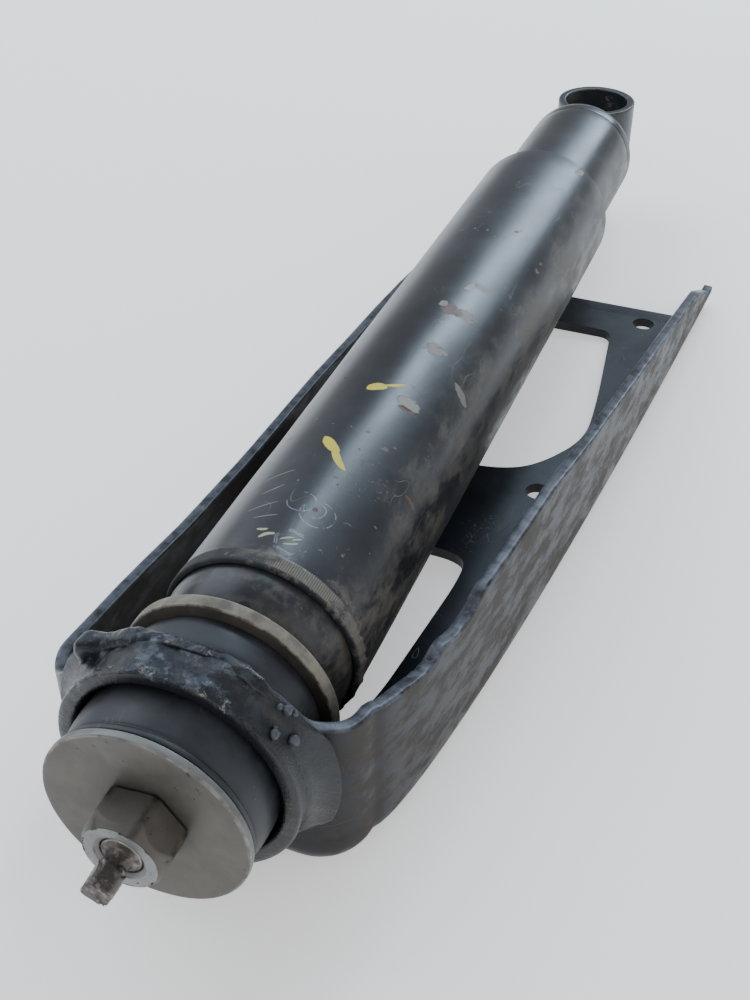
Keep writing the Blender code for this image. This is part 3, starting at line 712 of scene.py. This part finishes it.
def black_paint(name, chips=0.625, dust_from=0.25, dust_way=(0.85, -0.10, -0.25), marks=(),
                edge_wear=0.5, faded=0.5, scratch_cover=0.54, rust_at=0.66, knurled=False,
                edge_color=None, clay=None, gloss=0.5, lines=()):
    """Worn black paint: faded in clouds, chipped to grey steel, rusted, scratched and dusty.

    marks are blots on an unrolled tube: centre, half size, turn, ragged, bend and colour.
    lines are outlines struck on the same tube: centre, size and number of sides, 0 for round.
    edge_color is what shows on worn edges, clay is the colour of the dust, and gloss is how
    strongly the paint reflects.
    """
    material, tree, shader, place = new_material(name)
    clouds = noise(tree, place, 22.0, 9.0, 0.68)
    color = blend_color(tree, ramp(tree, clouds, 0.3, 0.72, 0.0, faded * 2), BLACK, BLACK_FADED)
    chip = mask(tree, PATCHES, Vector=place, Scale=260.0, Cluster_Scale=26.0, Threshold=chips,
                Softness=0.012)
    fleck = mask(tree, PATCHES, Vector=place, Scale=900.0, Cluster_Scale=45.0,
                 Threshold=chips + 0.012, Softness=0.012)
    scratch = mask(tree, SCRATCHES, Vector=place, Scale=70.0, Stretch=(1.0, 0.3, 1.0),
                   Width=0.0035, Cover=scratch_cover)
    worn = ramp(tree, noise(tree, place, 230.0, 6.0), 0.5 - edge_wear * 0.2, 0.62)
    edge = times(tree, wear_of(tree), worn, edge_wear)
    bare = calc(tree, "MAXIMUM", chip, calc(tree, "MAXIMUM", fleck, times(tree, scratch, 0.6)))
    if edge_color:
        color = blend_color(tree, edge, color, edge_color)
    else:
        bare = calc(tree, "MAXIMUM", bare, edge)
    metal_color = blend_color(tree, ramp(tree, noise(tree, place, 180.0, 5.0), 0.45, 0.6), PRIMER,
                              (0.17, 0.145, 0.12))
    color = blend_color(tree, times(tree, bare, 0.85), color, metal_color)
    rust = mask(tree, PATCHES, Vector=place, Scale=150.0, Cluster_Scale=18.0, Threshold=rust_at,
                Softness=0.03)
    color = blend_color(tree, times(tree, rust, 0.8), color, RUST)
    height = calc(tree, "SUBTRACT", times(tree, noise(tree, place, 500.0, 5.0), 0.25),
                  times(tree, bare, 0.8))
    lee = mask(tree, SETTLED, Vector=place, Direction=dust_way, From=dust_from, To=dust_from + 0.8,
               Scale=42.0, Breakup=0.75)
    streaks = noise(tree, vector_calc(tree, "MULTIPLY", place, (1.0, 0.35, 1.0)), 160.0, 8.0, 0.75)
    dust = times(tree, lee, ramp(tree, streaks, 0.42, 0.58, 0.12, 1.0))
    color = blend_color(tree, dust, color, clay or CLAY)
    sheen = calc(tree, "ADD", times(tree, clouds, 0.22), 0.20)
    rough = calc(tree, "ADD", sheen, times(tree, calc(tree, "MAXIMUM", dust, bare), 0.32),
                 clamp=True)
    unrolled = mask(tree, UNROLLED, Vector=place)
    if knurled:
        cake, on_band = knurl_cake(tree, place, unrolled)
        color = blend_color(tree, cake, color, (0.190, 0.170, 0.140))
        rough = calc(tree, "MAXIMUM", rough, times(tree, on_band, 0.7))
    for centre, half, turn, ragged, bend, paint in marks:
        spot = mask(tree, BLOT, Unrolled=unrolled, Centre=(*centre, 0.0), Half_Size=(*half, 1.0),
                    Turn=math.radians(turn), Ragged=ragged, Bend=bend)
        color = blend_color(tree, spot, color, paint)
        rough = calc(tree, "ADD", rough, times(tree, spot, 0.2), clamp=True)
        height = calc(tree, "ADD", height, times(tree, spot, 0.5))
    for centre, size, sides in lines:
        line = struck_line(tree, unrolled, centre, size, sides)
        color = blend_color(tree, times(tree, line, 0.8), color, (0.24, 0.27, 0.31))
    plug(tree, shader, color, rough, 0.0, height, 0.00012, 0.7)
    shader.inputs["Specular IOR Level"].default_value = gloss
    return material


YELLOW = (0.68, 0.58, 0.055)
PALE = (0.40, 0.43, 0.26)
GREY = (0.235, 0.225, 0.210)
BROWN = (0.100, 0.044, 0.034)
SCRAPE = (0.20, 0.22, 0.25)
tube_marks = (
    ((-0.0006, 0.0921), (0.0036, 0.0022), -28, 0.10, 0.3, YELLOW),
    ((0.0047, 0.0953), (0.0036, 0.0008), -34, 0.14, -0.8, YELLOW),
    ((-0.0020, 0.0574), (0.0052, 0.0019), 44, 0.09, -0.3, YELLOW),
    ((0.0023, 0.0520), (0.0066, 0.0013), 54, 0.09, -0.9, YELLOW),
    ((0.0060, 0.1475), (0.0044, 0.0034), 15, 0.75, 0.1, BROWN),
    ((0.0108, 0.1478), (0.0044, 0.0030), 15, 0.80, 0.1, (0.215, 0.175, 0.160)),
    ((0.0020, 0.1500), (0.0016, 0.0022), 15, 0.60, 0.0, GREY),
    ((0.0118, 0.0895), (0.0044, 0.0030), 10, 0.45, 0.0, GREY),
    ((0.0124, 0.0862), (0.0034, 0.0012), 5, 0.60, 0.0, BROWN),
    ((0.0090, 0.1217), (0.0036, 0.0030), 30, 0.85, 0.0, (0.205, 0.175, 0.155)),
    ((0.0068, 0.1660), (0.0014, 0.0030), 20, 0.60, 0.0, (0.30, 0.30, 0.29)),
    ((0.0104, 0.1690), (0.0024, 0.0016), 20, 0.80, 0.0, GREY),
    ((0.0250, 0.1106), (0.0048, 0.0018), 27, 0.45, 0.2, (0.180, 0.168, 0.155)),
    ((0.0180, 0.2860), (0.0016, 0.0034), 20, 0.25, 0.0, (0.27, 0.25, 0.22)),
    ((-0.0112, 0.0406), (0.0052, 0.0002), -31, 0.05, 0.5, SCRAPE),
    ((-0.0098, 0.0330), (0.0040, 0.0002), -40, 0.05, -0.8, SCRAPE),
    ((-0.0092, 0.0248), (0.0050, 0.0002), -31, 0.05, 0.6, SCRAPE),
    ((-0.0060, 0.0200), (0.0040, 0.0002), -20, 0.05, -0.5, SCRAPE),
    ((-0.0022, 0.0122), (0.0026, 0.0007), -40, 0.40, 0.8, PALE),
    ((-0.0040, 0.0140), (0.0018, 0.0005), -15, 0.40, -0.8, PALE),
    ((0.0040, 0.0132), (0.0022, 0.0004), -35, 0.30, 0.6, PALE),
    ((0.0056, 0.0112), (0.0024, 0.0004), -30, 0.30, -0.6, PALE),
    ((0.0066, 0.0138), (0.0018, 0.0004), -38, 0.30, 0.4, PALE),
    ((0.0060, 0.0274), (0.0010, 0.0008), 0, 0.60, 0.0, BROWN),
)
struck_lines = (
    ((0.0054, 0.0120), 0.0042, 6),
    ((0.0054, 0.0120), 0.0048, 6),
    ((0.0060, 0.0274), 0.0036, 0),
    ((0.0074, 0.0262), 0.0056, 0),
    ((0.0012, 0.0290), 0.0046, 0),
)
dust_tube.data.materials.append(black_paint("dust_tube_black", marks=tube_marks,
                                            lines=struck_lines, knurled=True))
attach(dust_tube, "rod_side")
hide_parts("dust_tube")

# --- dust cap ----------------------------------------------------------------------------------
# A deep-drawn cap on the rod's shoulder.  Its skirt carries the dust tube, and its dome collects
# dry dust.
dust_cap = turned("dust_cap_dome", [
    (28.2, 10.0, 0.3), (28.2, -5.0, 4.0), (25.4, -12.0, 4.0), (18.6, -16.7, 2.5),
    (7.3, -16.7, 0.2), (7.3, -14.7, 0.2), (18.0, -14.7, 2.0), (23.4, -10.6, 3.0),
    (26.2, -4.0, 3.0), (26.2, 10.0, 0.3)], 160, 0.0015)
dust_cap.data.materials.append(black_paint("dust_cap_black", chips=0.66, dust_from=0.42,
                                           dust_way=(0.75, -0.35, 0.20)))
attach(dust_cap, "rod_side")
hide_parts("dust_cap")

# --- reservoir tube and base cup ---------------------------------------------------------------
# The oil reservoir, a drawn tube painted black, with a cup welded into its far end.  The cup's
# rounded shoulder is saddled onto the eye.


def drawn_shape(angle, place, radius):
    at = around_axis(angle, place, radius)
    return radius + 0.00008 * lumps(at, 0.026, 21), place


reservoir = turned("reservoir_shell", [
    (25.0, 356.0, 0.15), (25.0, 16.0, 2.0), (23.2, 14.0, 1.0), (19.0, 14.0, 0.3),
    (19.0, 16.0, 0.3), (23.0, 16.0, 0.3), (23.0, 356.0, 0.15)], 160, 0.006, drawn_shape)
base_cup = turned("base_cup_shell", [
    (0, 384.0, 0), (12.0, 384.0, -2.0), (17.5, 375.0, -5.0), (22.5, 366.0, -4.0),
    (25.0, 363.0, -3.0), (25.0, 356.3, 0.15), (23.0, 356.3, 0.15), (23.0, 361.0, 0.3),
    (14.0, 373.0, 0.5), (0, 376.0, 0)], 160, 0.002, drawn_shape, open_ends=True)


def cut_away(piece, tool):
    """Subtract a tool from a piece, apply the cut and remove the tool."""
    cut = piece.modifiers.new("cut", "BOOLEAN")
    cut.operation = "DIFFERENCE"
    cut.solver = "EXACT"
    cut.object = tool
    depsgraph = bpy.context.evaluated_depsgraph_get()
    carved = bpy.data.meshes.new_from_object(piece.evaluated_get(depsgraph),
                                             preserve_all_data_layers=True, depsgraph=depsgraph)
    piece.modifiers.clear()
    piece.data = carved
    bpy.data.objects.remove(tool, do_unlink=True)


def upright_ring(name, centre_y, corners, segments, step=0.0015):
    """Surface of revolution about a vertical axis through the damper's, at a given Y.
    A profile point is (radius, height above the damper's axis)."""
    profile, wear = rounded_profile(corners)
    profile, wear = spaced(profile, wear, step)
    angle = np.linspace(0, 2 * math.pi, segments, endpoint=False)[:, None]
    radius, height = profile[:, 0], profile[:, 1]
    points = np.stack([radius * np.cos(angle), centre_y + radius * np.sin(angle),
                       AXIS_Z + height + 0 * angle], 2)
    return grid_piece(name, points, wear)


EYE_Y = 0.267
saddle = upright_ring("saddle", EYE_Y, [(18.5, 40, 0), (0.001, 40, 0), (0.001, -40, 0),
                                        (18.5, -40, 0)], 128, 0.05)
cut_away(base_cup, saddle)
base_cup.data.set_sharp_from_angle(angle=math.radians(40))
reservoir_finish = black_paint("reservoir_black", chips=0.63, dust_from=0.3)
for shell, node in ((reservoir, "reservoir_tube"), (base_cup, "base_cup")):
    shell.data.materials.append(reservoir_finish)
    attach(shell, "reservoir")
    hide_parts(node)

# --- eye ---------------------------------------------------------------------------------------
# A short length of thick tube welded across the cup, where a rubber bush and the axle's bolt go.
# It is empty here, and its bore is dull.
eye = upright_ring("eye_tube", EYE_Y, [(18.6, 17.0, 0.8), (15.0, 17.0, 0.8), (15.0, -17.0, 0.8),
                                       (18.6, -17.0, 0.8)], 128)
eye.data.materials.append(black_paint("eye_black", chips=0.62, dust_from=0.2, edge_wear=0.8,
                                      dust_way=(0.5, 0.0, -0.4)))
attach(eye, "reservoir")
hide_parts("eye_ring")

# --- bushing collar and its weld ---------------------------------------------------------------
# A short drawn collar that holds the front bushing.  Its root flares into the end wall, and over
# its top a rough weld joins the two, scraped to bare metal and crusted with pale dirt.


def collar_shape(angle, place, radius):
    """Flares into the wall on a round fillet of 7 mm, up to a reach that depends on the angle;
    over the top it is flattened and battered."""
    at = around_axis(angle, place, radius)
    outside = radius > 0.0338
    degrees = np.degrees((angle + math.pi) % (2 * math.pi) - math.pi)
    reach = np.interp(degrees, [-180, -130, -110, -90, -75, -62, -48, -38, 30, 40, 58, 69, 110,
                                130, 180], [34.6, 34.8, 38, 41, 40, 39.5, 38.5, 34.6, 34.6, 36,
                                            38, 41.5, 41.5, 35.5, 34.6]) * 0.001
    near = np.clip(place + 0.0453, 0, 0.00699)
    fillet = 0.0415 - np.sqrt(0.007 ** 2 - near ** 2)
    flare = np.maximum(np.minimum(fillet, reach) - 0.0345, 0)
    upper = np.clip((70 - np.abs(degrees + 6)) / 25, 0, 1) * outside
    rough = 0.0007 * lumps(at, 0.008, 31) + 0.00035 * lumps(at, 0.0028, 32)
    grown = radius + outside * flare + upper * (rough - 0.0003)
    height = grown * np.cos(angle)
    roof = 0.0338 - 0.0013 * np.clip(place + 0.050, 0, 1) / 0.012 + rough * 0.8
    grown = np.where(outside & (height > roof), roof / np.maximum(np.cos(angle), 0.2), grown)
    return grown, place + 0.0004 * upper * lumps(at, 0.004, 33)


collar = turned("bushing_collar_ring", [
    (34.5, -38.3, 0.3), (34.5, -49.6, 1.3), (32.8, -50.2, 1.2), (30.2, -50.0, 0.8),
    (29.3, -48.5, 0.8), (29.3, -38.3, 0.3)], 320, 0.0006, collar_shape)


def scraped_paint(name):
    """Glossy black paint, scraped to blue-grey steel and crusted pale over the collar's top."""
    material, tree, shader, place = new_material(name)
    at = parts(tree, place)
    left = ramp(tree, at["X"], 0.010, 0.026, 1.0, 0.0)
    high = times(tree, ramp(tree, at["Z"], AXIS_Z + 0.012, AXIS_Z + 0.026), left)
    facing_up = parts(tree, surface_normal(tree))["Z"]
    upward = ramp(tree, facing_up, 0.05, 0.5)
    broken = ramp(tree, noise(tree, place, 75.0, 9.0, 0.70, 0.4), 0.40, 0.54)
    bare = times(tree, high, upward, broken)
    color = blend_color(tree, ramp(tree, noise(tree, place, 60.0, 6.0), 0.3, 0.7),
                        (0.0085, 0.0095, 0.0120), (0.013, 0.015, 0.019))
    steel = blend_color(tree, ramp(tree, noise(tree, place, 190.0, 7.0, 0.7), 0.50, 0.60),
                        (0.018, 0.021, 0.028), (0.090, 0.102, 0.125))
    color = blend_color(tree, bare, color, steel)
    near = ramp(tree, at["Y"], ZERO - 0.0482, ZERO - 0.0462, 1.0, 0.0)
    outer = ramp(tree, facing_up, 0.0, 0.25)
    rim = times(tree, near, outer, high,
                ramp(tree, noise(tree, place, 130.0, 9.0, 0.75), 0.50, 0.56))
    dirt = ramp(tree, noise(tree, place, 170.0, 9.0, 0.75, 0.3), 0.63, 0.68)
    crust = calc(tree, "MAXIMUM", rim, times(tree, dirt, bare))
    color = blend_color(tree, times(tree, crust, 0.9), color, (0.36, 0.34, 0.315))
    metal = times(tree, bare, 0.6)
    rough = ramp(tree, noise(tree, place, 150.0, 5.0), 0.3, 0.7, 0.20, 0.40)
    rough = calc(tree, "MAXIMUM", rough, times(tree, crust, 0.85))
    relief = calc(tree, "ADD", noise(tree, place, 180.0, 8.0, 0.7), times(tree, crust, 0.25))
    plug(tree, shader, color, rough, metal, relief, 0.0006, 0.7)
    return material


scraped = scraped_paint("scraped_black")
collar.data.materials.append(scraped)
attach(collar, "bracket")
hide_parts("bushing_collar")


def weld_bead(name):
    """Ring-shaped bead: a tube of varying thickness round the collar's root.

    It is thin beside and under the collar.  Over the top it thickens and leans back onto the
    wall's edge, and it ends on the left in a horn.  Lumps and faint ripples roughen it.
    """
    around = np.linspace(0, 2 * math.pi, 620, endpoint=False)[:, None]
    across = np.linspace(0, 2 * math.pi, 24, endpoint=False)[None, :]
    turn = (around + math.pi) % (2 * math.pi) - math.pi
    top = np.clip(1.9 - np.abs(turn + 0.10) * 2.2, 0, 1)
    horn = np.exp(-((turn + 0.84) / 0.12) ** 2)
    ripple = np.abs(np.sin(around * 40 + 0.9 * np.sin(around * 9)))
    at = np.stack([0.035 * np.sin(around) + 0 * across, 0.004 * np.sin(across) + 0 * around,
                   0.035 * np.cos(around) + 0.004 * np.cos(across)], 2)
    thick = 0.0010 + 0.0014 * top + 0.0012 * horn + 0.00012 * ripple * top
    thick = thick * (1 + 0.26 * lumps(at, 0.007, 41) + 0.16 * lumps(at, 0.0025, 42))
    flat_top = 0.0304 / np.maximum(np.cos(turn), 0.5)
    radius = np.minimum(0.0352 - 0.0016 * top, flat_top) + 0.0036 * horn
    place = -0.0392 + 0.0023 * top - 0.0006 * horn
    grown = radius + thick * np.cos(across)
    points = np.stack([grown * np.sin(around), ZERO + place + 1.35 * thick * np.sin(across),
                       AXIS_Z + grown * np.cos(around)], 2)
    return grid_piece(name, points, np.zeros_like(thick))


bead = weld_bead("collar_weld_bead")
bead.data.materials.append(scraped)
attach(bead, "bracket")
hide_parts("collar_weld")

# --- mounting bracket --------------------------------------------------------------------------
# One pressing of 4 mm steel plate: a base plate with two windows and four bolt holes, a straight
# left flange, a spreading right flange whose top was trimmed with a torch, and an arched end
# wall.  Painted black, worn along its edges, dusty inside.
PLATE = 4.0
BEND = 8.0
CORNER = 16.0
WALL_PLACE = -38.0
LEFT_X = -50.0
FAR_PLACE = 311.0
LOWEST_TOP = -30.6


def right_edge(place):
    """Sideways place of the right flange's outer face, in millimetres."""
    run = np.maximum(0.0, place + 22.0) / 332.0
    return 43.5 + 36.5 * run ** 0.62 - 2.0 * run


def pan_path(step):
    """Plan path of the pan's outer face from the left flange's far end round the end wall to the
    right flange's far end, with its inward normals, in millimetres."""
    corner_place = WALL_PLACE + CORNER
    left = np.stack([np.full(2, LEFT_X), [FAR_PLACE, corner_place]], 1)
    turn = np.radians(np.linspace(180, 270, 14))
    left_turn = np.stack([LEFT_X + CORNER + CORNER * np.cos(turn),
                          corner_place + CORNER * np.sin(turn)], 1)
    right_x = right_edge(corner_place) - CORNER
    turn = np.radians(np.linspace(270, 358, 14))
    right_turn = np.stack([right_x + CORNER * np.cos(turn),
                           corner_place + CORNER * np.sin(turn)], 1)
    places = corner_place + (FAR_PLACE - corner_place) * np.linspace(0.004, 1, 60) ** 1.3
    right = np.stack([right_edge(places), places], 1)
    path = np.vstack([left[:1], left_turn, right_turn, right])
    path, _ = spaced(path, np.zeros(len(path)), step, closed=False)
    along_path = np.gradient(path, axis=0)
    along_path /= np.linalg.norm(along_path, axis=1)[:, None]
    inward = np.stack([-along_path[:, 1], along_path[:, 0]], 1)
    return path, inward


def top_height(path):
    """Height of the pressing's top edge above the damper's axis along the plan path."""
    x, place = path[:, 0], path[:, 1]
    left = np.interp(place, [-34, -22, 10, 46, 86, 150, 212, 248, 280, 312],
                     [2.8, 3.3, 0.0, -5.2, -8.5, -11.8, -17.0, -20.5, -25.0, -34.0])
    right = np.interp(place, [-30, -24, -10, 2, 8, 14, 22, 34, 90, 125, 220, 280, 300, 312],
                      [12.5, 12.5, 9.5, 5.6, 8.2, 7.2, 5.0, 9.2, 9.0, 4.0, -8.0, -18.0, -27.5,
                       -37.0])
    wall = np.interp(x, [-48, -45, -38.5, -36, -31.5, -27, -17, -4, 13, 22, 31, 38, 43],
                     [2.8, 3.5, 10.5, 17, 23, 25, 26, 27.6, 27.2, 23, 15.5, 14, 12.5])
    at_wall = place < -28
    height = np.where(at_wall, wall, np.where(x < 0, left, right))
    kernel = np.hanning(5)
    height = np.convolve(np.pad(height, 2, mode="edge"), kernel / kernel.sum(), mode="valid")
    torch = np.exp(-((place - 8) / 22) ** 2) * (x > 0) * (place > -20)
    at = np.stack([x, place, 0 * x], 1)
    height += torch * (1.0 * lumps(at, 5.5, 51) + 0.4 * lumps(at, 2.2, 52))
    rough_wall = at_wall * (np.abs(x) < 44)
    height += rough_wall * 0.35 * lumps(at, 4.0, 53) + 0.08 * lumps(at, 7.0, 54)
    return np.maximum(height, LOWEST_TOP)


def pan_surface(name, step=2.2):
    """Closed skin of the pressing.

    Along the plan path runs a section on a grid: from the floor's underside round the bend, up
    the outer face, over the top edge, down the inner face and round the inner bend to the
    floor's top.  Flat faces close the floor's two sides and the open far end.
    """
    path, inward = pan_path(step)
    top = top_height(path)[:, None]
    floor = -40.0
    edge = 0.8
    sections = []

    def station(depth, height, wear):
        """Points at a depth inwards from the path and a height, one column each."""
        depth, height = np.broadcast_arrays(depth + 0 * top, height + 0 * top)
        flat = path[:, None, :] + inward[:, None, :] * depth[..., None]
        sections.append((np.concatenate([flat, height[..., None]], 2),
                         np.broadcast_to(wear, depth.shape)))

    turn = np.radians(np.linspace(0, 90, 9))[None, :]
    station(BEND * (1 - np.sin(turn)), floor + BEND * (1 - np.cos(turn)), 0.0)
    rise = np.linspace(0.06, 1, 22)[None, :]
    foot = floor + BEND
    station(0 * rise, foot + (top - edge - foot) * rise, 0.0)
    turn = np.radians(np.linspace(20, 90, 4))[None, :]
    station(edge * (1 - np.cos(turn)), top - edge + edge * np.sin(turn), 1.0)
    station(np.array([[1.6, 2.4]]), top, 0.7)
    turn = np.radians(np.linspace(90, 0, 5))[None, :]
    station(PLATE - edge * (1 - np.cos(turn)), top - edge + edge * np.sin(turn), 0.5)
    fall = np.linspace(1, 0, 23)[None, 1:]
    station(PLATE + 0 * fall, foot + (top - edge - foot) * fall, 0.0)
    inner = BEND - PLATE
    turn = np.radians(np.linspace(80, 0, 7))[None, :]
    station(BEND - inner * np.sin(turn), foot - inner * np.cos(turn), 0.0)

    points = np.concatenate([part for part, _ in sections], 1)
    wear = np.concatenate([part for _, part in sections], 1)
    dents = 0.25 * lumps(points, 38.0, 55) + 0.06 * lumps(points, 9.0, 56)
    upright = np.clip((points[..., 2] - floor - BEND) / 4, 0, 1)
    push = np.concatenate([inward, np.zeros((len(path), 1))], 1)[:, None, :]
    points = points + push * (upright * (dents + 0.1))[..., None]
    world_points = (points + [0, ZERO * 1000, AXIS_Z * 1000]) * 0.001
    piece = grid_piece(name, world_points, wear, wrap_u=False, wrap_v=False)
    close_pan(piece, points.shape[0], points.shape[1])
    return piece


def close_pan(piece, stations, height_steps):
    """Add the floor's underside and top and the far end to the open skin."""
    bm = bmesh.new()
    bm.from_mesh(piece.data)
    bm.verts.ensure_lookup_table()
    first = [bm.verts[u * height_steps] for u in range(stations)]
    last = [bm.verts[u * height_steps + height_steps - 1] for u in range(stations)]
    left_end = [bm.verts[v] for v in range(height_steps)]
    right_end = [bm.verts[(stations - 1) * height_steps + v] for v in range(height_steps)]
    for loop in (first, last, left_end + right_end[::-1]):
        bm.faces.new(loop)
    bmesh.ops.recalc_face_normals(bm, faces=bm.faces)
    bm.to_mesh(piece.data)
    bm.free()


def prism(name, outline, low, high):
    """Upright prism of a plan outline in millimetres, between two heights above the axis."""
    outline = np.asarray(outline, float)
    count = len(outline)
    rings = [np.column_stack([outline[:, 0], outline[:, 1] + ZERO * 1000,
                              np.full(count, height + AXIS_Z * 1000)]) for height in (low, high)]
    points = np.vstack(rings) * 0.001
    faces = [[i, (i + 1) % count, count + (i + 1) % count, count + i] for i in range(count)]
    faces += [list(range(count))[::-1], list(range(count, 2 * count))]
    mesh = bpy.data.meshes.new(name)
    mesh.from_pydata(points.tolist(), [], faces)
    obj = bpy.data.objects.new(name, mesh)
    bpy.context.scene.collection.objects.link(obj)
    return obj


def smooth_outline(corners, rounding, steps=12):
    """Closed outline in millimetres with its corners rounded."""
    points, _ = rounded_profile([(x, y, r) for (x, y), r in zip(corners, rounding)], steps)
    return points * 1000


bracket = pan_surface("bracket_pressing")
large_window = smooth_outline(
    [(-34, 149), (22, 149), (38, 156), (52, 180), (50, 208), (44.5, 250), (42.5, 264.5),
     (-34, 264.5)], [14, 12, 14, 16, 16, 10, 5, 14])
small_window = smooth_outline(
    [(-30, 2), (20, 4), (26, 24), (32, 84), (31, 98), (-30, 98)], [16, 14, 12, 12, 12, 16])
cut_away(bracket, prism("large_window", large_window, -60, -30))
cut_away(bracket, prism("small_window", small_window, -60, -30))
BOLT_HOLE_R = 4.6
for hole_x, hole_place in ((54.5, 276), (44, 142), (-40, 276), (-40, 128)):
    turn = np.radians(np.linspace(0, 360, 40, endpoint=False))
    circle = np.stack([hole_x + BOLT_HOLE_R * np.cos(turn),
                       hole_place + BOLT_HOLE_R * np.sin(turn)], 1)
    cut_away(bracket, prism("bolt_hole", circle, -60, -30))
beyond = [(-90, 288), (67.5, 288), (71.0, 330), (-90, 330)]
cut_away(bracket, prism("beyond_plate", beyond, -80, 60))
stem_hole = turned("stem_hole", [(10, -20, 0), (10, -60, 0), (0.01, -60, 0), (0.01, -20, 0)],
                   64, 0.1)
cut_away(bracket, stem_hole)
bracket.data.shade_smooth()
bracket.data.set_sharp_from_angle(angle=math.radians(42))


def bracket_paint(name):
    """Black paint on the pressing: dusty inside and on the floor, rubbed along the edges."""
    return black_paint(name, chips=0.640, dust_from=0.12, dust_way=(0.80, -0.2, 0.0),
                       edge_wear=0.95, faded=0.75, scratch_cover=0.58, rust_at=0.67,
                       edge_color=(0.125, 0.137, 0.170), clay=(0.046, 0.040, 0.033), gloss=0.2)


bracket.data.materials.append(bracket_paint("bracket_black"))
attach(bracket, "bracket")
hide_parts("mounting_bracket")

# --- weld spatter ------------------------------------------------------------------------------
# Small balls of metal thrown by the welding, frozen on the collar beside the bead.
COLLAR_R = 0.0345


def spatter_ball(name, turn, place, size, seed):
    """Lumpy ball on the collar: a sphere of latitude and longitude, radius varied by noise."""
    longitude = np.linspace(0, 2 * math.pi, 24, endpoint=False)[:, None]
    latitude = np.linspace(-math.pi / 2, math.pi / 2, 13)[None, :]
    unit = np.stack([np.cos(longitude) * np.cos(latitude), np.sin(longitude) * np.cos(latitude),
                     np.sin(latitude) + 0 * longitude], 2)
    radius = size * (1 + 0.2 * lumps(unit, 0.9, seed))
    reach = COLLAR_R + size * 0.25 + 0.0038 * max(0.0, (place + 0.047) / 0.0087) ** 2
    angle = math.radians(turn)
    centre = np.array([reach * math.sin(angle), ZERO + place, AXIS_Z + reach * math.cos(angle)])
    return grid_piece(name, centre + unit * radius[..., None], np.zeros(radius.shape), True,
                      False)


spatter_metal = plated_steel("spatter_steel", (0.085, 0.092, 0.105), (0.05, 0.05, 0.05),
                             (0.3, 0.3, 0.3), 0.55)
for index, (turn, place, size) in enumerate(((51.5, -0.0462, 0.0013), (60.0, -0.0432, 0.0015),
                                             (50.0, -0.0448, 0.0006), (49.0, -0.0402, 0.0014),
                                             (46.0, -0.0408, 0.0009), (52.0, -0.0395, 0.0008))):
    ball = spatter_ball(f"spatter_{index}", turn, place, size, 61 + index)
    ball.data.materials.append(spatter_metal)
    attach(ball, "bracket")

# --- hidden works ------------------------------------------------------------------------------
# What lies inside the tubes keeps its plain solids, finished as the real pieces are: machined and
# sintered steel, bronze, polymer and rubber.


def machined(name, color, roughness, metal, scale=600.0):
    """Turned or pressed metal with fine grain and faint staining."""
    material, tree, shader, place = new_material(name)
    stain = ramp(tree, noise(tree, place, 80.0, 7.0), 0.4, 0.65)
    tone = blend_color(tree, stain, color, tuple(c * 0.7 for c in color))
    rough = ramp(tree, noise(tree, place, 200.0, 4.0), 0.3, 0.7, roughness - 0.08, roughness + 0.1)
    plug(tree, shader, tone, rough, metal, noise(tree, place, scale, 4.0), 0.00006, 0.4)
    return material


hidden_finishes = {
    "spacer_sleeve": machined("sleeve_steel", (0.36, 0.35, 0.33), 0.42, 0.9),
    "bump_stop": rubber,
    "rebound_stop": machined("stop_steel", (0.34, 0.33, 0.31), 0.4, 0.9),
    "piston": machined("sintered_piston", (0.22, 0.21, 0.20), 0.55, 0.8, 1200.0),
    "piston_band": machined("band_polymer", (0.10, 0.09, 0.08), 0.4, 0.0),
    "piston_nut": machined("nut_steel", (0.32, 0.31, 0.30), 0.4, 0.9),
    "piston_valve_plate": machined("spring_steel", (0.40, 0.40, 0.41), 0.3, 1.0),
    "rod_seal": rubber,
    "rod_guide": machined("sintered_guide", (0.22, 0.21, 0.20), 0.55, 0.8, 1200.0),
    "guide_bush": machined("bush_bronze", (0.45, 0.30, 0.14), 0.35, 1.0),
    "pressure_tube": machined("honed_tube", (0.42, 0.42, 0.41), 0.28, 1.0),
    "foot_valve_body": machined("sintered_valve", (0.22, 0.21, 0.20), 0.55, 0.8, 1200.0),
    "foot_valve_disc": machined("valve_disc_steel", (0.40, 0.40, 0.41), 0.3, 1.0),
}
for node_name, finish in hidden_finishes.items():
    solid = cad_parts[node_name]
    solid.data.materials.clear()
    solid.data.materials.append(finish)
